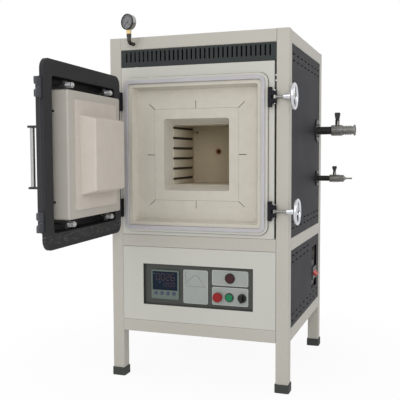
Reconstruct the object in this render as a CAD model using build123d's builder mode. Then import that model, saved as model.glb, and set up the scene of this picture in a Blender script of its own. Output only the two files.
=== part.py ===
"""Floor-standing atmosphere muffle furnace with a side-hung plug door.

A welded square-tube frame carries a sealed steel furnace shell above a control
compartment. The door hangs on the left and is clamped by two swing bolts with
handwheels. Front of the cabinet faces -Y, millimetres, origin on the floor
under the middle of the cabinet.
"""
import os
from math import cos, pi, radians, sin

from build123d import *

os.makedirs("parts", exist_ok=True)

# ---------------------------------------------------------------- cabinet sizes
width = 600
depth = 600
height = 1125
tube = 40
tube_wall = 2
tube_corner = 3
bottom_rail_height = 156
mid_rail_height = 442
foot_height = 27
foot_floor = 6
foot_rim = 3
foot_clearance = 0.2
sheet = 1.5
sheet_turn = 14
panel_gap = 0.5
panel_inset = 1
side_inset = 1.5

# ------------------------------------------------------- front grille and louvres
grille_height = 56
grille_slot_width = 5
grille_slot_height = 34
grille_slot_pitch = 15
grille_slot_count = 33
grille_slot_drop = 6
louvre_length = 30
louvre_height = 4.5
louvre_pitch = 64
louvre_columns = 8
louvre_row_pitch = 20.5
louvre_margin = 29

# ------------------------------------------------------------- furnace and chamber
furnace_x = -8.5
furnace_z = mid_rail_height + 302
flange_width = width - 113
flange_height = height - 625
flange_corner = 28
flange_thickness = 12
flange_stand = 8
gasket_margin = 8
gasket_width = 12
gasket_rebate = 3
seal_gap = 0.3
door_gap = 6
shell_wall = 3
shell_margin = 8.5
shell_depth = depth - 59
block_clearance = 0.5
collar_depth = 70
collar_setback = 1
recess_margin = 11
recess_taper = 8
recess_depth = 30
throat_width = 286
throat_height = 296
mouth_width = 223
mouth_height = 233
throat_depth = 57
chamber = 200
chamber_clearance = 2
lining = 30
slot_count = 6
slot_pitch = 34.3
slot_height = 9
slot_rise = 5
slot_depth = 11
element_radius = 2.5
insulation_depth = 320
slit_width = 2.2
slit_length = 25
gas_duct_radius = 12
gas_duct_bore = 8
gas_duct_offset = (-5.5, 11)
thermocouple_radius = 3
thermocouple_offset = (-86, 80)

# ----------------------------------------------------------------------- door sizes
door_open_deg = 87.5
hinge_x = tube - width / 2
hinge_stand = 22
door_edge = 8.5
door_width = flange_width - 1
door_height = flange_height + 4
door_corner = 30
door_thickness = 12
door_frame = 43
door_sheet = 2
cover_inset = 40
cover_depth = 36
cover_corner = 20
knuckle_radius = 7
hinge_pin_radius = 3.97
hinge_pin_clearance = 0.03
knuckle_length = 22.5
knuckle_gap = 0.4
fixed_knuckle_length = 18
hinge_leaf_width = 33
hinge_leaf_thickness = 3
hinge_base_width = 33
hinge_base_thickness = 4
latch_spread = 174
fork_reach = 27
fork_slot = 12
fork_slot_depth = 10
fork_prong = 20
fork_flare = 3
fork_thickness = 7.5
handle_from_edge = 62
handle_stand = 23
handle_radius = 6.3
handle_length = 171
handle_drop = 6
handle_foot = 6
handle_bracket_width = 18
handle_bracket_nose = 3.5

# ----------------------------------------------------------------------- door plug
casing_width = 341
casing_height = 350
casing_front = 38
casing_back = 16
casing_wall = 1.5
board_width = 264
board_height = 302
board_thickness = 4
plug_base_width = 212
plug_base_height = 222
plug_tip_width = 198
plug_tip_height = 200
plug_length = 43
plug_travel = 2
stud_spread = 125
stud_radius = 3
stud_rise = 15
stud_clearance = 0.3
lug_width = 26
lug_height = 27
lug_thickness = 3
lug_front = 9
spring_radius = 7
spring_wire = 0.9
spring_turns = 5
spring_length = 19
stud_nut = 10
stud_nut_height = 5

# --------------------------------------------------------------------- swing clamps
clamp_x = width / 2 - 42.5
clamp_stand = 10.5
clamp_base_width = 10
clamp_base_height = 60
clamp_base_gap = 3
clamp_lug_radius = 6.5
clamp_lug_thickness = 14
clamp_pin_radius = 2.97
clamp_pin_clearance = 0.03
eye_radius = 6.8
eye_thickness = 10
eye_gap = 0.4
rod_radius = 4
rod_length = 62
rod_clearance = 0.05
nut_nose_radius = 7.5
nut_nose_length = 10.8
nut_collar_radius = 9.8
nut_collar_length = 2.5
upper_nut_distance = 27.8
lower_nut_distance = 38.7
hub_radius = 9
hub_length = 20
hub_gap = 0.1
wheel_radius = 36
wheel_rim_radius = 5
wheel_rim_offset = 18.8
spoke_radius = 3
spoke_count = 3

# -------------------------------------------------------------------- control panel
control_width = 375
control_height = 136
control_z = 318
control_recess = 9
controller_x = -111.5
controller_z = 318.5
controller_size = 97
controller_corner = 5
controller_stand = 7
controller_body = 90
controller_body_depth = 72
screen_width = 88
screen_height = 62
screen_rise = 12.5
screen_sink = 1
key_radius = 4.5
key_clearance = 0.3
key_pitch = 21
key_drop = 29
key_proud = 0.8
key_length = 4
key_travel = 0.7
plate_thickness = 1.5
plate_corner = 5
card_x = -6.5
card_width = 84
card_height = 110
card_z = 316
button_plate_x = 110
button_plate_width = 120
alarm_plate_height = 49.5
alarm_plate_z = 350.5
switch_plate_height = 58
switch_plate_z = 291.5
pilot_radius = 11
pilot_bore_clearance = 0.1
pilot_length = 22
pilot_wall = 0.9
stem_clearance = 0.2
collar_stand = 4
alarm_radius = 15
alarm_rise = 6
stop_x = 71
stop_radius = 15.4
stop_collar = 13
stop_travel = 4
stop_head = 8
start_x = 108
start_collar = 14.5
start_travel = 3
selector_x = 150
selector_collar = 14.5
selector_radius = 12
selector_bar_width = 9
selector_bar_length = 27
selector_bar_height = 11
pilot_row_z = 289

# -------------------------------------------------------------------- power side
window_y = depth / 2 - 132
window_width = 100
window_bottom = 252
window_height = 153
breaker_y = depth / 2 - 124
breaker_width = 72
breaker_height = 92
breaker_depth = 48
breaker_z = 304
breaker_nose = 45
breaker_step = 8
toggle_radius = 8.5
toggle_clearance = 0.4
toggle_sink = 5
toggle_width = 50
toggle_reach = 18
toggle_thickness = 6
toggle_tilt = -25
breaker_rail_width = 35

# -------------------------------------------------------------------------- ports
port_y = depth / 2 - 96
vacuum_z = 832
gas_z = 655
port_disc_thickness = 5
vacuum_disc_radius = 42
gas_disc_radius = 28
port_pipe_clearance = 0.3
vacuum_pipe_radius = 14.5
vacuum_bore = 11.5
adapter_bore = 12.5
vacuum_pipe_end = 353
vacuum_body_radius = 20
vacuum_body_length = 41
vacuum_adapter_length = 47
vacuum_flange_radius = 20
vacuum_flange_thickness = 6
gas_pipe_radius = 10
gas_bore = 3
gas_pipe_end = 348
gas_body_radius = 14
gas_body_length = 37
gas_nut = 25
gas_nut_length = 15
gas_cone_length = 7
gas_tube_radius = 3
gas_tube_bore = 2
gas_tube_length = 23
valve_stem_clearance = 0.03

# -------------------------------------------------------------------------- gauge
gauge_x = 86 - width / 2
gauge_stand = 35
gauge_pipe_z = 1103
gauge_pipe_radius = 6
gauge_bend = 12
gauge_nut_bottom = 1120
gauge_nut = 15
gauge_nut_height = 11
gauge_stem_width = 12
gauge_stem_height = 11.5
gauge_centre_z = 1168
gauge_radius = 24
gauge_bezel = 25.2
gauge_case_depth = 22
gauge_bezel_depth = 5
gauge_turn_deg = 19

# ----------------------------------------------------- sizes worked out from those
front = -depth / 2
rear = depth / 2
inner_half = width / 2 - tube
lower_bay = (bottom_rail_height + tube, mid_rail_height)
upper_bay = (mid_rail_height + tube, height - tube)
grille_low = upper_bay[1] - grille_height
flange_front = front - flange_stand
flange_back = flange_front + flange_thickness
door_inner = flange_front - door_gap
opening_width = flange_width - 2 * (gasket_margin + gasket_width)
opening_height = flange_height - 2 * (gasket_margin + gasket_width)
shell_width = flange_width - 2 * shell_margin
shell_height = flange_height - 2 * shell_margin
shell_rear = flange_back + shell_depth
shell_right = furnace_x + shell_width / 2
collar_front = flange_front + collar_setback
recess_floor = collar_front + recess_depth
collar_back = collar_front + collar_depth
throat_back = recess_floor + throat_depth
chamber_back = throat_back + chamber
lining_back = chamber_back + lining
insulation_back = throat_back + insulation_depth
lining_half = chamber / 2 + lining
door_middle = door_edge + door_width / 2
hinge_y = front - hinge_stand
door_inner_out = door_inner - hinge_y
door_outer_out = door_thickness - door_inner_out
cover_face_out = door_outer_out + cover_depth
door_far = door_edge + door_width
latch_heights = (furnace_z + latch_spread, furnace_z - latch_spread)
side_face = width / 2 - side_inset
control_face = front + panel_inset
control_floor = control_face + control_recess
slot_heights = [furnace_z + slot_rise + (i - (slot_count - 1) / 2) * slot_pitch for i in range(slot_count)]


def facing(y):
    """Upright plane at y that looks towards the front of the cabinet."""
    return Plane(origin=(0, y, 0), x_dir=(1, 0, 0), z_dir=(0, -1, 0))


def backing(y):
    """Upright plane at y that looks towards the rear."""
    return Plane(origin=(0, y, 0), x_dir=(-1, 0, 0), z_dir=(0, 1, 0))


def siding(x, sign=1):
    """Upright plane at x that looks outward on the right (1) or left (-1) side."""
    return Plane(origin=(x, 0, 0), x_dir=(0, sign, 0), z_dir=(sign, 0, 0))


swing = radians(door_open_deg)
door_along = (cos(swing), -sin(swing), 0)
door_outward = (-sin(swing), -cos(swing), 0)


def door_plane(out):
    """Plane of the open door, out millimetres outside the hinge axis.

    Its X runs along the door from the hinge axis, and its Y is up.
    """
    origin = Vector(hinge_x, hinge_y, 0) + out * Vector(*door_outward)
    return Plane(origin=origin, x_dir=door_along, z_dir=door_outward)


def folded_sheet(plane, at, wide, tall):
    """Flat sheet on the plane, centred on the point at, with its four edges turned back."""
    with BuildSketch(plane) as face:
        with Locations(at):
            Rectangle(wide, tall)
    extrude(face.sketch, amount=-sheet)
    with BuildSketch(plane) as turned:
        with Locations(at):
            Rectangle(wide, tall)
            Rectangle(wide - 2 * sheet, tall - 2 * sheet, mode=Mode.SUBTRACT)
    extrude(turned.sketch, amount=-sheet_turn)


def louvres(plane, heights, columns, shift=0):
    """Rows of short slots through a sheet lying on the plane."""
    with BuildSketch(plane) as slots:
        for z in heights:
            with Locations((shift, z)):
                with GridLocations(louvre_pitch, 1, columns, 1):
                    SlotOverall(louvre_length, louvre_height)
    extrude(slots.sketch, amount=-2 * sheet, mode=Mode.SUBTRACT)


# --------------------------------------------------------------------- welded frame
with BuildPart() as frame_posts:
    with BuildSketch(Plane.XY.offset(foot_floor)):
        with GridLocations(width - tube, depth - tube, 2, 2):
            RectangleRounded(tube, tube, tube_corner)
    extrude(amount=height - foot_floor)
    with BuildSketch(Plane.XY.offset(foot_floor)):
        with GridLocations(width - tube, depth - tube, 2, 2):
            Rectangle(tube - 2 * tube_wall, tube - 2 * tube_wall)
    extrude(amount=height - foot_floor - tube_wall, mode=Mode.SUBTRACT)
frame_posts.part.label = "frame_posts"
export_step(frame_posts.part, "parts/frame_posts.step")

rail_middles = [low + tube / 2 for low in (bottom_rail_height, mid_rail_height, height - tube)]

with BuildPart() as frame_rails:
    with BuildSketch(Plane.YZ.offset(-inner_half)):
        for middle in rail_middles:
            with Locations((front + tube / 2, middle), (rear - tube / 2, middle)):
                RectangleRounded(tube, tube, tube_corner)
                Rectangle(tube - 2 * tube_wall, tube - 2 * tube_wall, mode=Mode.SUBTRACT)
    extrude(amount=2 * inner_half)
    with BuildSketch(facing(rear - tube)):
        for middle in rail_middles:
            with GridLocations(width - tube, 1, 2, 1):
                with Locations((0, middle)):
                    RectangleRounded(tube, tube, tube_corner)
                    Rectangle(tube - 2 * tube_wall, tube - 2 * tube_wall, mode=Mode.SUBTRACT)
    extrude(amount=depth - 2 * tube)
frame_rails.part.label = "frame_rails"
export_step(frame_rails.part, "parts/frame_rails.step")

foot_width = tube + 2 * (foot_rim + foot_clearance)

with BuildPart() as rubber_feet:
    with BuildSketch():
        with GridLocations(width - tube, depth - tube, 2, 2):
            RectangleRounded(foot_width, foot_width, tube_corner + foot_rim)
    extrude(amount=foot_height)
    chamfer(rubber_feet.faces().sort_by(Axis.Z)[-4:].edges(), length=1.2)
    with BuildSketch(Plane.XY.offset(foot_floor)):
        with GridLocations(width - tube, depth - tube, 2, 2):
            Rectangle(tube + 2 * foot_clearance, tube + 2 * foot_clearance)
    extrude(amount=foot_height, mode=Mode.SUBTRACT)
rubber_feet.part.label = "rubber_feet"
export_step(rubber_feet.part, "parts/rubber_feet.step")

# ------------------------------------------------------------------- cabinet covers
side_width = depth - 2 * tube - 2 * panel_gap
louvre_rows = {
    lower_bay: [lower_bay[1] - louvre_margin + louvre_row_pitch / 2 - i * louvre_row_pitch for i in range(2)]
    + [lower_bay[0] + louvre_margin - louvre_row_pitch / 2 + i * louvre_row_pitch for i in range(2)],
    upper_bay: [upper_bay[1] - louvre_margin - i * louvre_row_pitch for i in range(2)]
    + [upper_bay[0] + louvre_margin + i * louvre_row_pitch for i in range(2)],
}
breaker_free_columns = 5
breaker_free_shift = -(louvre_columns - breaker_free_columns) / 2 * louvre_pitch

with BuildPart() as side_panels:
    for sign in (1, -1):
        for bay in (lower_bay, upper_bay):
            middle = (bay[0] + bay[1]) / 2
            plane = siding(sign * side_face, sign)
            folded_sheet(plane, (0, middle), side_width, bay[1] - bay[0] - 2 * panel_gap)
            rows = louvre_rows[bay]
            if sign == 1 and bay == lower_bay:
                louvres(plane, rows[:2], breaker_free_columns, breaker_free_shift)
                louvres(plane, rows[2:], louvre_columns)
            else:
                louvres(plane, rows, louvre_columns)
    with BuildSketch(siding(side_face)):
        with Locations((window_y, window_bottom + window_height / 2)):
            Rectangle(window_width, window_height)
        with Locations((port_y, vacuum_z)):
            Circle(vacuum_pipe_radius + port_pipe_clearance)
        with Locations((port_y, gas_z)):
            Circle(gas_pipe_radius + port_pipe_clearance)
    extrude(amount=-2 * sheet, mode=Mode.SUBTRACT)
side_panels.part.label = "side_panels"
export_step(side_panels.part, "parts/side_panels.step")

gland_x = width / 2 - 110
gland_z = 236
gland_hole = 12.2

with BuildPart() as cabinet_covers:
    for bay in (lower_bay, upper_bay):
        middle = (bay[0] + bay[1]) / 2
        plane = backing(rear - panel_inset)
        tall = bay[1] - bay[0] - 2 * panel_gap
        folded_sheet(plane, (0, middle), 2 * (inner_half - panel_gap), tall)
        louvres(plane, louvre_rows[bay][:2], louvre_columns - 1)
    with BuildSketch(backing(rear - panel_inset)):
        with Locations((-gland_x, gland_z)):
            Circle(gland_hole)
    extrude(amount=-2 * sheet, mode=Mode.SUBTRACT)
    folded_sheet(Plane.XY.offset(height), (0, 0), 2 * (inner_half - panel_gap), side_width)
cabinet_covers.part.label = "cabinet_covers"
export_step(cabinet_covers.part, "parts/cabinet_covers.step")

deck_thickness = 2
skid_height = furnace_z - shell_height / 2 - upper_bay[0] - deck_thickness
skid_width = 40
skid_spread = 300

with BuildPart() as inner_decks:
    for low in (lower_bay[0], upper_bay[0]):
        with BuildSketch(Plane.XY.offset(low)):
            Rectangle(2 * (inner_half - panel_gap), depth - 2 * (sheet_turn + panel_inset + panel_gap))
            Rectangle(2 * (side_face - sheet_turn - panel_gap), side_width)
        extrude(amount=deck_thickness)
    with BuildSketch(Plane.XY.offset(upper_bay[0] + deck_thickness)):
        with Locations((furnace_x, 0)):
            with GridLocations(skid_spread, 1, 2, 1):
                Rectangle(skid_width, depth - 4 * tube)
                Rectangle(skid_width - 2 * deck_thickness, depth, mode=Mode.SUBTRACT)
    extrude(amount=skid_height)
inner_decks.part.label = "inner_decks"
export_step(inner_decks.part, "parts/inner_decks.step")

with BuildPart() as vent_grille:
    with BuildSketch(facing(control_face)):
        with Locations((0, grille_low + grille_height / 2)):
            Rectangle(2 * (inner_half - panel_gap), grille_height - panel_gap)
        slot_middle = upper_bay[1] - grille_slot_drop - grille_slot_height / 2
        with Locations((0, slot_middle)):
            with GridLocations(grille_slot_pitch, 1, grille_slot_count, 1):
                SlotOverall(grille_slot_height, grille_slot_width, rotation=90, mode=Mode.SUBTRACT)
    extrude(amount=-sheet)
vent_grille.part.label = "vent_grille"
export_step(vent_grille.part, "parts/vent_grille.step")

front_panel_left = -inner_half + panel_gap
front_panel_right = inner_half - 6
front_panel_width = front_panel_right - front_panel_left
flange_clearance = 1.5

with BuildPart() as front_panels:
    middle = (upper_bay[0] + grille_low) / 2
    left_middle = (front_panel_left + front_panel_right) / 2
    plane = facing(control_face)
    upper_tall = grille_low - upper_bay[0] - 2 * panel_gap
    folded_sheet(plane, (left_middle, middle), front_panel_width, upper_tall)
    with BuildSketch(plane):
        with Locations((furnace_x, furnace_z)):
            around = 2 * flange_clearance
            RectangleRounded(flange_width + around, flange_height + around, flange_corner + flange_clearance)
    extrude(amount=-sheet_turn, mode=Mode.SUBTRACT)
    lower_middle = (lower_bay[0] + lower_bay[1]) / 2
    lower_tall = lower_bay[1] - lower_bay[0] - 2 * panel_gap
    folded_sheet(plane, (0, lower_middle), 2 * (inner_half - panel_gap), lower_tall)
    with BuildSketch(plane):
        with Locations((0, control_z)):
            Rectangle(control_width, control_height)
    extrude(amount=-2 * sheet, mode=Mode.SUBTRACT)
front_panels.part.label = "front_panels"
export_step(front_panels.part, "parts/front_panels.step")

# ------------------------------------------------------------- furnace mouth and shell
furnace = (furnace_x, furnace_z)
groove_outer = (flange_width - 2 * gasket_margin, flange_height - 2 * gasket_margin)
groove_corner = flange_corner - gasket_margin
opening_corner = groove_corner - gasket_width

with BuildPart() as furnace_flange:
    with BuildSketch(facing(flange_front)):
        with Locations(furnace):
            RectangleRounded(flange_width, flange_height, flange_corner)
            RectangleRounded(opening_width, opening_height, opening_corner, mode=Mode.SUBTRACT)
    extrude(amount=-flange_thickness)
    rim = furnace_flange.faces().sort_by(Axis.Y)[0].outer_wire().edges()
    chamfer(rim, length=1)
    with BuildSketch(facing(flange_front)):
        with Locations(furnace):
            RectangleRounded(*groove_outer, groove_corner)
    extrude(amount=-gasket_rebate, mode=Mode.SUBTRACT)
furnace_flange.part.label = "furnace_flange"
export_step(furnace_flange.part, "parts/furnace_flange.step")

with BuildPart() as door_gasket:
    with BuildSketch(facing(door_inner + seal_gap)):
        with Locations(furnace):
            fit = 0.2
            RectangleRounded(groove_outer[0] - fit, groove_outer[1] - fit, groove_corner - fit / 2)
            RectangleRounded(opening_width, opening_height, opening_corner, mode=Mode.SUBTRACT)
    extrude(amount=-(flange_front + gasket_rebate - door_inner - seal_gap))
    fillet(door_gasket.faces().sort_by(Axis.Y)[0].edges(), radius=1.6)
door_gasket.part.label = "door_gasket"
export_step(door_gasket.part, "parts/door_gasket.step")

shell_corner = flange_corner - shell_margin
tube_clearance = 0.3

with BuildPart() as furnace_shell:
    with BuildSketch(facing(flange_back)):
        with Locations(furnace):
            RectangleRounded(shell_width, shell_height, shell_corner)
            RectangleRounded(
                shell_width - 2 * shell_wall,
                shell_height - 2 * shell_wall,
                shell_corner - shell_wall,
                mode=Mode.SUBTRACT,
            )
    extrude(amount=-shell_depth)
    with BuildSketch(facing(shell_rear - shell_wall)):
        with Locations(furnace):
            RectangleRounded(shell_width, shell_height, shell_corner)
    extrude(amount=-shell_wall)
    with BuildSketch(siding(shell_right - shell_wall)):
        with Locations((port_y, vacuum_z)):
            Circle(vacuum_bore)
        with Locations((port_y, gas_z)):
            Circle(gas_bore)
    extrude(amount=2 * shell_wall, mode=Mode.SUBTRACT)
furnace_shell.part.label = "furnace_shell"
export_step(furnace_shell.part, "parts/furnace_shell.step")

collar_width = opening_width - 2 * block_clearance
collar_height = opening_height - 2 * block_clearance
window_width_clear = throat_width + 2 * block_clearance
window_height_clear = throat_height + 2 * block_clearance
recess_width = collar_width - 2 * recess_margin
recess_height = collar_height - 2 * recess_margin

with BuildPart() as collar_block:
    with BuildSketch(facing(collar_front)):
        with Locations(furnace):
            RectangleRounded(collar_width, collar_height, opening_corner - block_clearance)
    extrude(amount=-collar_depth)
    with BuildSketch(facing(collar_front)):
        with Locations(furnace):
            RectangleRounded(recess_width, recess_height, opening_corner)
    with BuildSketch(facing(recess_floor)):
        with Locations(furnace):
            narrow = 2 * recess_taper
            RectangleRounded(recess_width - narrow, recess_height - narrow, opening_corner - 2)
    loft(mode=Mode.SUBTRACT)
    with BuildSketch(facing(recess_floor)):
        with Locations(furnace):
            Rectangle(window_width_clear, window_height_clear)
    extrude(amount=-collar_depth, mode=Mode.SUBTRACT)
    half_wide = window_width_clear / 2
    half_tall = window_height_clear / 2
    with BuildSketch(facing(recess_floor)):
        with Locations(furnace):
            with Locations((half_wide, 0), (-half_wide, 0)):
                Rectangle(2 * slit_length, slit_width)
            with Locations((0, half_tall), (0, -half_tall)):
                Rectangle(slit_width, 2 * slit_length)
            with Locations((half_wide, half_tall), (-half_wide, -half_tall)):
                Rectangle(2 * slit_length, slit_width, rotation=42)
            with Locations((-half_wide, half_tall), (half_wide, -half_tall)):
                Rectangle(2 * slit_length, slit_width, rotation=-42)
            Rectangle(window_width_clear, window_height_clear, mode=Mode.SUBTRACT)
    extrude(amount=-slit_length, mode=Mode.SUBTRACT)
collar_block.part.label = "collar_block"
export_step(collar_block.part, "parts/collar_block.step")

with BuildPart() as throat_block:
    with BuildSketch(facing(recess_floor)):
        with Locations(furnace):
            Rectangle(throat_width, throat_height)
    extrude(amount=-throat_depth)
    with BuildSketch(facing(recess_floor)):
        with Locations(furnace):
            RectangleRounded(mouth_width, mouth_height, 8)
    with BuildSketch(facing(throat_back)):
        with Locations(furnace):
            RectangleRounded(chamber + chamber_clearance, chamber + chamber_clearance, 3)
    loft(mode=Mode.SUBTRACT)
throat_block.part.label = "throat_block"
export_step(throat_block.part, "parts/throat_block.step")

duct_x = furnace_x + gas_duct_offset[0]
duct_z = furnace_z + gas_duct_offset[1]
sensor_x = furnace_x + thermocouple_offset[0]
sensor_z = furnace_z + thermocouple_offset[1]
element_x = chamber / 2 + slot_depth - element_radius - 1.5
element_clearance = 0.5
half_chamber = chamber / 2
slab_gap = 0.3

with BuildPart() as chamber_lining:
    with BuildSketch(facing(throat_back + slab_gap)):
        with Locations(furnace):
            with Locations((0, half_chamber + lining / 2), (0, -half_chamber - lining / 2)):
                Rectangle(2 * lining_half, lining)
            for sign in (1, -1):
                with Locations((sign * (half_chamber + lining / 2), 0)):
                    Rectangle(lining, chamber - 2 * slab_gap)
                for z in slot_heights:
                    with Locations((sign * (half_chamber + slot_depth / 2), z - furnace_z)):
                        Rectangle(slot_depth, slot_height, mode=Mode.SUBTRACT)
    extrude(amount=-(chamber - 2 * slab_gap))
    with BuildSketch(facing(chamber_back)):
        with Locations(furnace):
            Rectangle(2 * lining_half, 2 * lining_half)
        with Locations((duct_x, duct_z)):
            Circle(gas_duct_radius + tube_clearance, mode=Mode.SUBTRACT)
        with Locations((sensor_x, sensor_z)):
            Circle(thermocouple_radius + 2, mode=Mode.SUBTRACT)
        for z in slot_heights:
            with Locations((furnace_x + element_x, z), (furnace_x - element_x, z)):
                Circle(element_radius + element_clearance, mode=Mode.SUBTRACT)
    extrude(amount=-lining)
chamber_lining.part.label = "chamber_lining"
export_step(chamber_lining.part, "parts/chamber_lining.step")

element_front = throat_back + 4
element_rear = lining_back + 1.5
element_spots = [(furnace_x + sign * element_x, z) for sign in (1, -1) for z in slot_heights]

with BuildPart() as heating_elements:
    with BuildSketch(facing(element_front)):
        with Locations(element_spots):
            Circle(element_radius)
    extrude(amount=-(element_rear - element_front))
heating_elements.part.label = "heating_elements"
export_step(heating_elements.part, "parts/heating_elements.step")

duct_rear = insulation_back + 30
sensor_front = chamber_back + 4

with BuildPart() as back_wall_tubes:
    with BuildSketch(facing(chamber_back - 2)):
        with Locations((duct_x, duct_z)):
            Circle(gas_duct_radius)
            Circle(gas_duct_bore, mode=Mode.SUBTRACT)
    extrude(amount=-(duct_rear - chamber_back + 2))
    with BuildSketch(facing(sensor_front)):
        with Locations((sensor_x, sensor_z)):
            Circle(thermocouple_radius)
    extrude(amount=-(duct_rear - sensor_front))
    fillet(back_wall_tubes.edges().filter_by(GeomType.CIRCLE).group_by(Axis.Y)[1], radius=1)
back_wall_tubes.part.label = "back_wall_tubes"
export_step(back_wall_tubes.part, "parts/back_wall_tubes.step")

pack_width = shell_width - 2 * shell_wall - 2
pack_height = shell_height - 2 * shell_wall - 2

with BuildPart() as insulation_pack:
    with BuildSketch(facing(collar_back + slab_gap)):
        with Locations(furnace):
            RectangleRounded(pack_width, pack_height, shell_corner - shell_wall - 1)
    extrude(amount=-(insulation_back - collar_back))
    with BuildSketch(facing(collar_back)):
        with Locations(furnace):
            Rectangle(window_width_clear, window_height_clear)
    extrude(amount=-(throat_back - collar_back + slab_gap), mode=Mode.SUBTRACT)
    with BuildSketch(facing(throat_back)):
        with Locations(furnace):
            Rectangle(2 * (lining_half + block_clearance), 2 * (lining_half + block_clearance))
    extrude(amount=-(element_rear - throat_back + slab_gap), mode=Mode.SUBTRACT)
    with BuildSketch(facing(lining_back)):
        with Locations((duct_x, duct_z)):
            Circle(gas_duct_radius + tube_clearance)
        with Locations((sensor_x, sensor_z)):
            Circle(thermocouple_radius + tube_clearance)
    extrude(amount=-insulation_depth, mode=Mode.SUBTRACT)
insulation_pack.part.label = "insulation_pack"
export_step(insulation_pack.part, "parts/insulation_pack.step")

# ------------------------------------------------------------------------------ door
door_spot = (door_middle, furnace_z)
door_opening = (door_width - 2 * door_frame, door_height - 2 * door_frame, 12)

with BuildPart() as door_flange:
    with BuildSketch(door_plane(door_outer_out)):
        with Locations(door_spot):
            RectangleRounded(door_width, door_height, door_corner)
            RectangleRounded(*door_opening, mode=Mode.SUBTRACT)
    extrude(amount=-door_thickness)
    inner_axis = Axis((0, 0, 0), door_outward)
    for face in door_flange.faces().filter_by(inner_axis).sort_by(inner_axis):
        chamfer(face.outer_wire().edges(), length=1.2)
door_flange.part.label = "door_flange"
export_step(door_flange.part, "parts/door_flange.step")

cover_width = door_width - 2 * cover_inset
cover_height = door_height - 2 * cover_inset
stud_base_out = cover_face_out - door_sheet
stud_tip_out = -(casing_front - 4)
stud_height = casing_height / 2 + stud_rise
stud_spots = [(door_middle + i * stud_spread, furnace_z + k * stud_height) for i in (1, -1) for k in (1, -1)]
nut_out = -(lug_front + spring_length)

with BuildPart() as door_cover:
    with BuildSketch(door_plane(door_outer_out)):
        with Locations(door_spot):
            RectangleRounded(cover_width, cover_height, cover_corner)
    extrude(amount=cover_depth)
    fillet(door_cover.faces().sort_by(Axis((0, 0, 0), door_outward))[-1].edges(), radius=3)
    with BuildSketch(door_plane(door_outer_out)):
        with Locations(door_spot):
            inside = 2 * door_sheet
            RectangleRounded(cover_width - inside, cover_height - inside, cover_corner - door_sheet)
    extrude(amount=cover_depth - door_sheet, mode=Mode.SUBTRACT)
    with BuildSketch(door_plane(stud_base_out)):
        with Locations(stud_spots):
            Circle(stud_radius)
    extrude(amount=stud_tip_out - stud_base_out)
    with BuildSketch(door_plane(nut_out)):
        with Locations(stud_spots):
            Circle(spring_radius + spring_wire)
    extrude(amount=-1.5)
    with BuildSketch(door_plane(nut_out - 1.5)):
        with Locations(stud_spots):
            RegularPolygon(stud_nut / 2, 6, major_radius=False)
    extrude(amount=-stud_nut_height + 1.5)
door_cover.part.label = "door_cover"
export_step(door_cover.part, "parts/door_cover.step")

knuckle_base = fixed_knuckle_length + knuckle_gap + knuckle_length / 2
hinge_pin_bore = hinge_pin_radius + hinge_pin_clearance
arm_width = 2 * knuckle_radius - 1

with BuildPart() as hinge_brackets:
    for z in latch_heights:
        with BuildSketch(Plane.XY.offset(z - knuckle_base)):
            with Locations((hinge_x, hinge_y)):
                Circle(knuckle_radius)
            with Locations((hinge_x - knuckle_radius + arm_width / 2, (hinge_y + front) / 2)):
                Rectangle(arm_width, hinge_stand)
            with Locations((hinge_x - 2 - hinge_base_width / 2, front - hinge_base_thickness / 2)):
                Rectangle(hinge_base_width, hinge_base_thickness)
            with Locations((hinge_x, hinge_y)):
                Circle(hinge_pin_bore, mode=Mode.SUBTRACT)
        extrude(amount=2 * knuckle_base)
        with BuildSketch(Plane.XY.offset(z - knuckle_length / 2 - knuckle_gap)):
            with Locations((hinge_x, hinge_y)):
                Circle(knuckle_radius + 1)
        extrude(amount=knuckle_length + 2 * knuckle_gap, mode=Mode.SUBTRACT)
hinge_brackets.part.label = "hinge_brackets"
export_step(hinge_brackets.part, "parts/hinge_brackets.step")

leaf_tall = 2 * knuckle_base
leaf_start = knuckle_radius + 1.5

with BuildPart() as door_hinge_leaves:
    for z in latch_heights:
        with BuildSketch(Plane.XY.offset(z - knuckle_length / 2)):
            with Locations((hinge_x, hinge_y)):
                Circle(knuckle_radius)
        extrude(amount=knuckle_length)
        with BuildSketch(door_plane(door_outer_out)):
            with Locations((leaf_start / 2, z)):
                Rectangle(leaf_start, knuckle_length)
            with Locations((leaf_start + hinge_leaf_width / 2, z)):
                Rectangle(hinge_leaf_width, leaf_tall)
        extrude(amount=hinge_leaf_thickness)
    with BuildSketch(Plane.XY.offset(latch_heights[1] - leaf_tall)):
        with Locations((hinge_x, hinge_y)):
            Circle(hinge_pin_bore)
    extrude(amount=latch_heights[0] - latch_heights[1] + 2 * leaf_tall, mode=Mode.SUBTRACT)
door_hinge_leaves.part.label = "door_hinge_leaves"
export_step(door_hinge_leaves.part, "parts/door_hinge_leaves.step")

fork_tall = fork_slot + 2 * fork_prong

with BuildPart() as door_forks:
    for z in latch_heights:
        with BuildSketch(door_plane(door_outer_out)):
            with Locations((door_far + fork_reach / 2, z)):
                Rectangle(fork_reach, fork_tall)
            with Locations((door_far + fork_reach - fork_slot_depth / 2, z)):
                Rectangle(fork_slot_depth, fork_slot, mode=Mode.SUBTRACT)
            with Locations((door_far + fork_reach - fork_slot_depth, z)):
                Circle(fork_slot / 2, mode=Mode.SUBTRACT)
            tip = door_far + fork_reach
            half_slot = fork_slot / 2
            flared = half_slot + fork_flare
            Polygon((tip - fork_flare, z - half_slot), (tip, z - flared), (tip, z + flared),
                    (tip - fork_flare, z + half_slot), align=None, mode=Mode.SUBTRACT)
        extrude(amount=-fork_thickness)
    chamfer(door_forks.edges().filter_by(Axis(origin=(0, 0, 0), direction=door_outward)), length=2)
door_forks.part.label = "door_forks"
export_step(door_forks.part, "parts/door_forks.step")

handle_along = door_far - handle_from_edge
handle_out = cover_face_out + handle_stand
handle_centre = Vector(hinge_x, hinge_y) + handle_along * Vector(*door_along) + handle_out * Vector(*door_outward)

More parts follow.
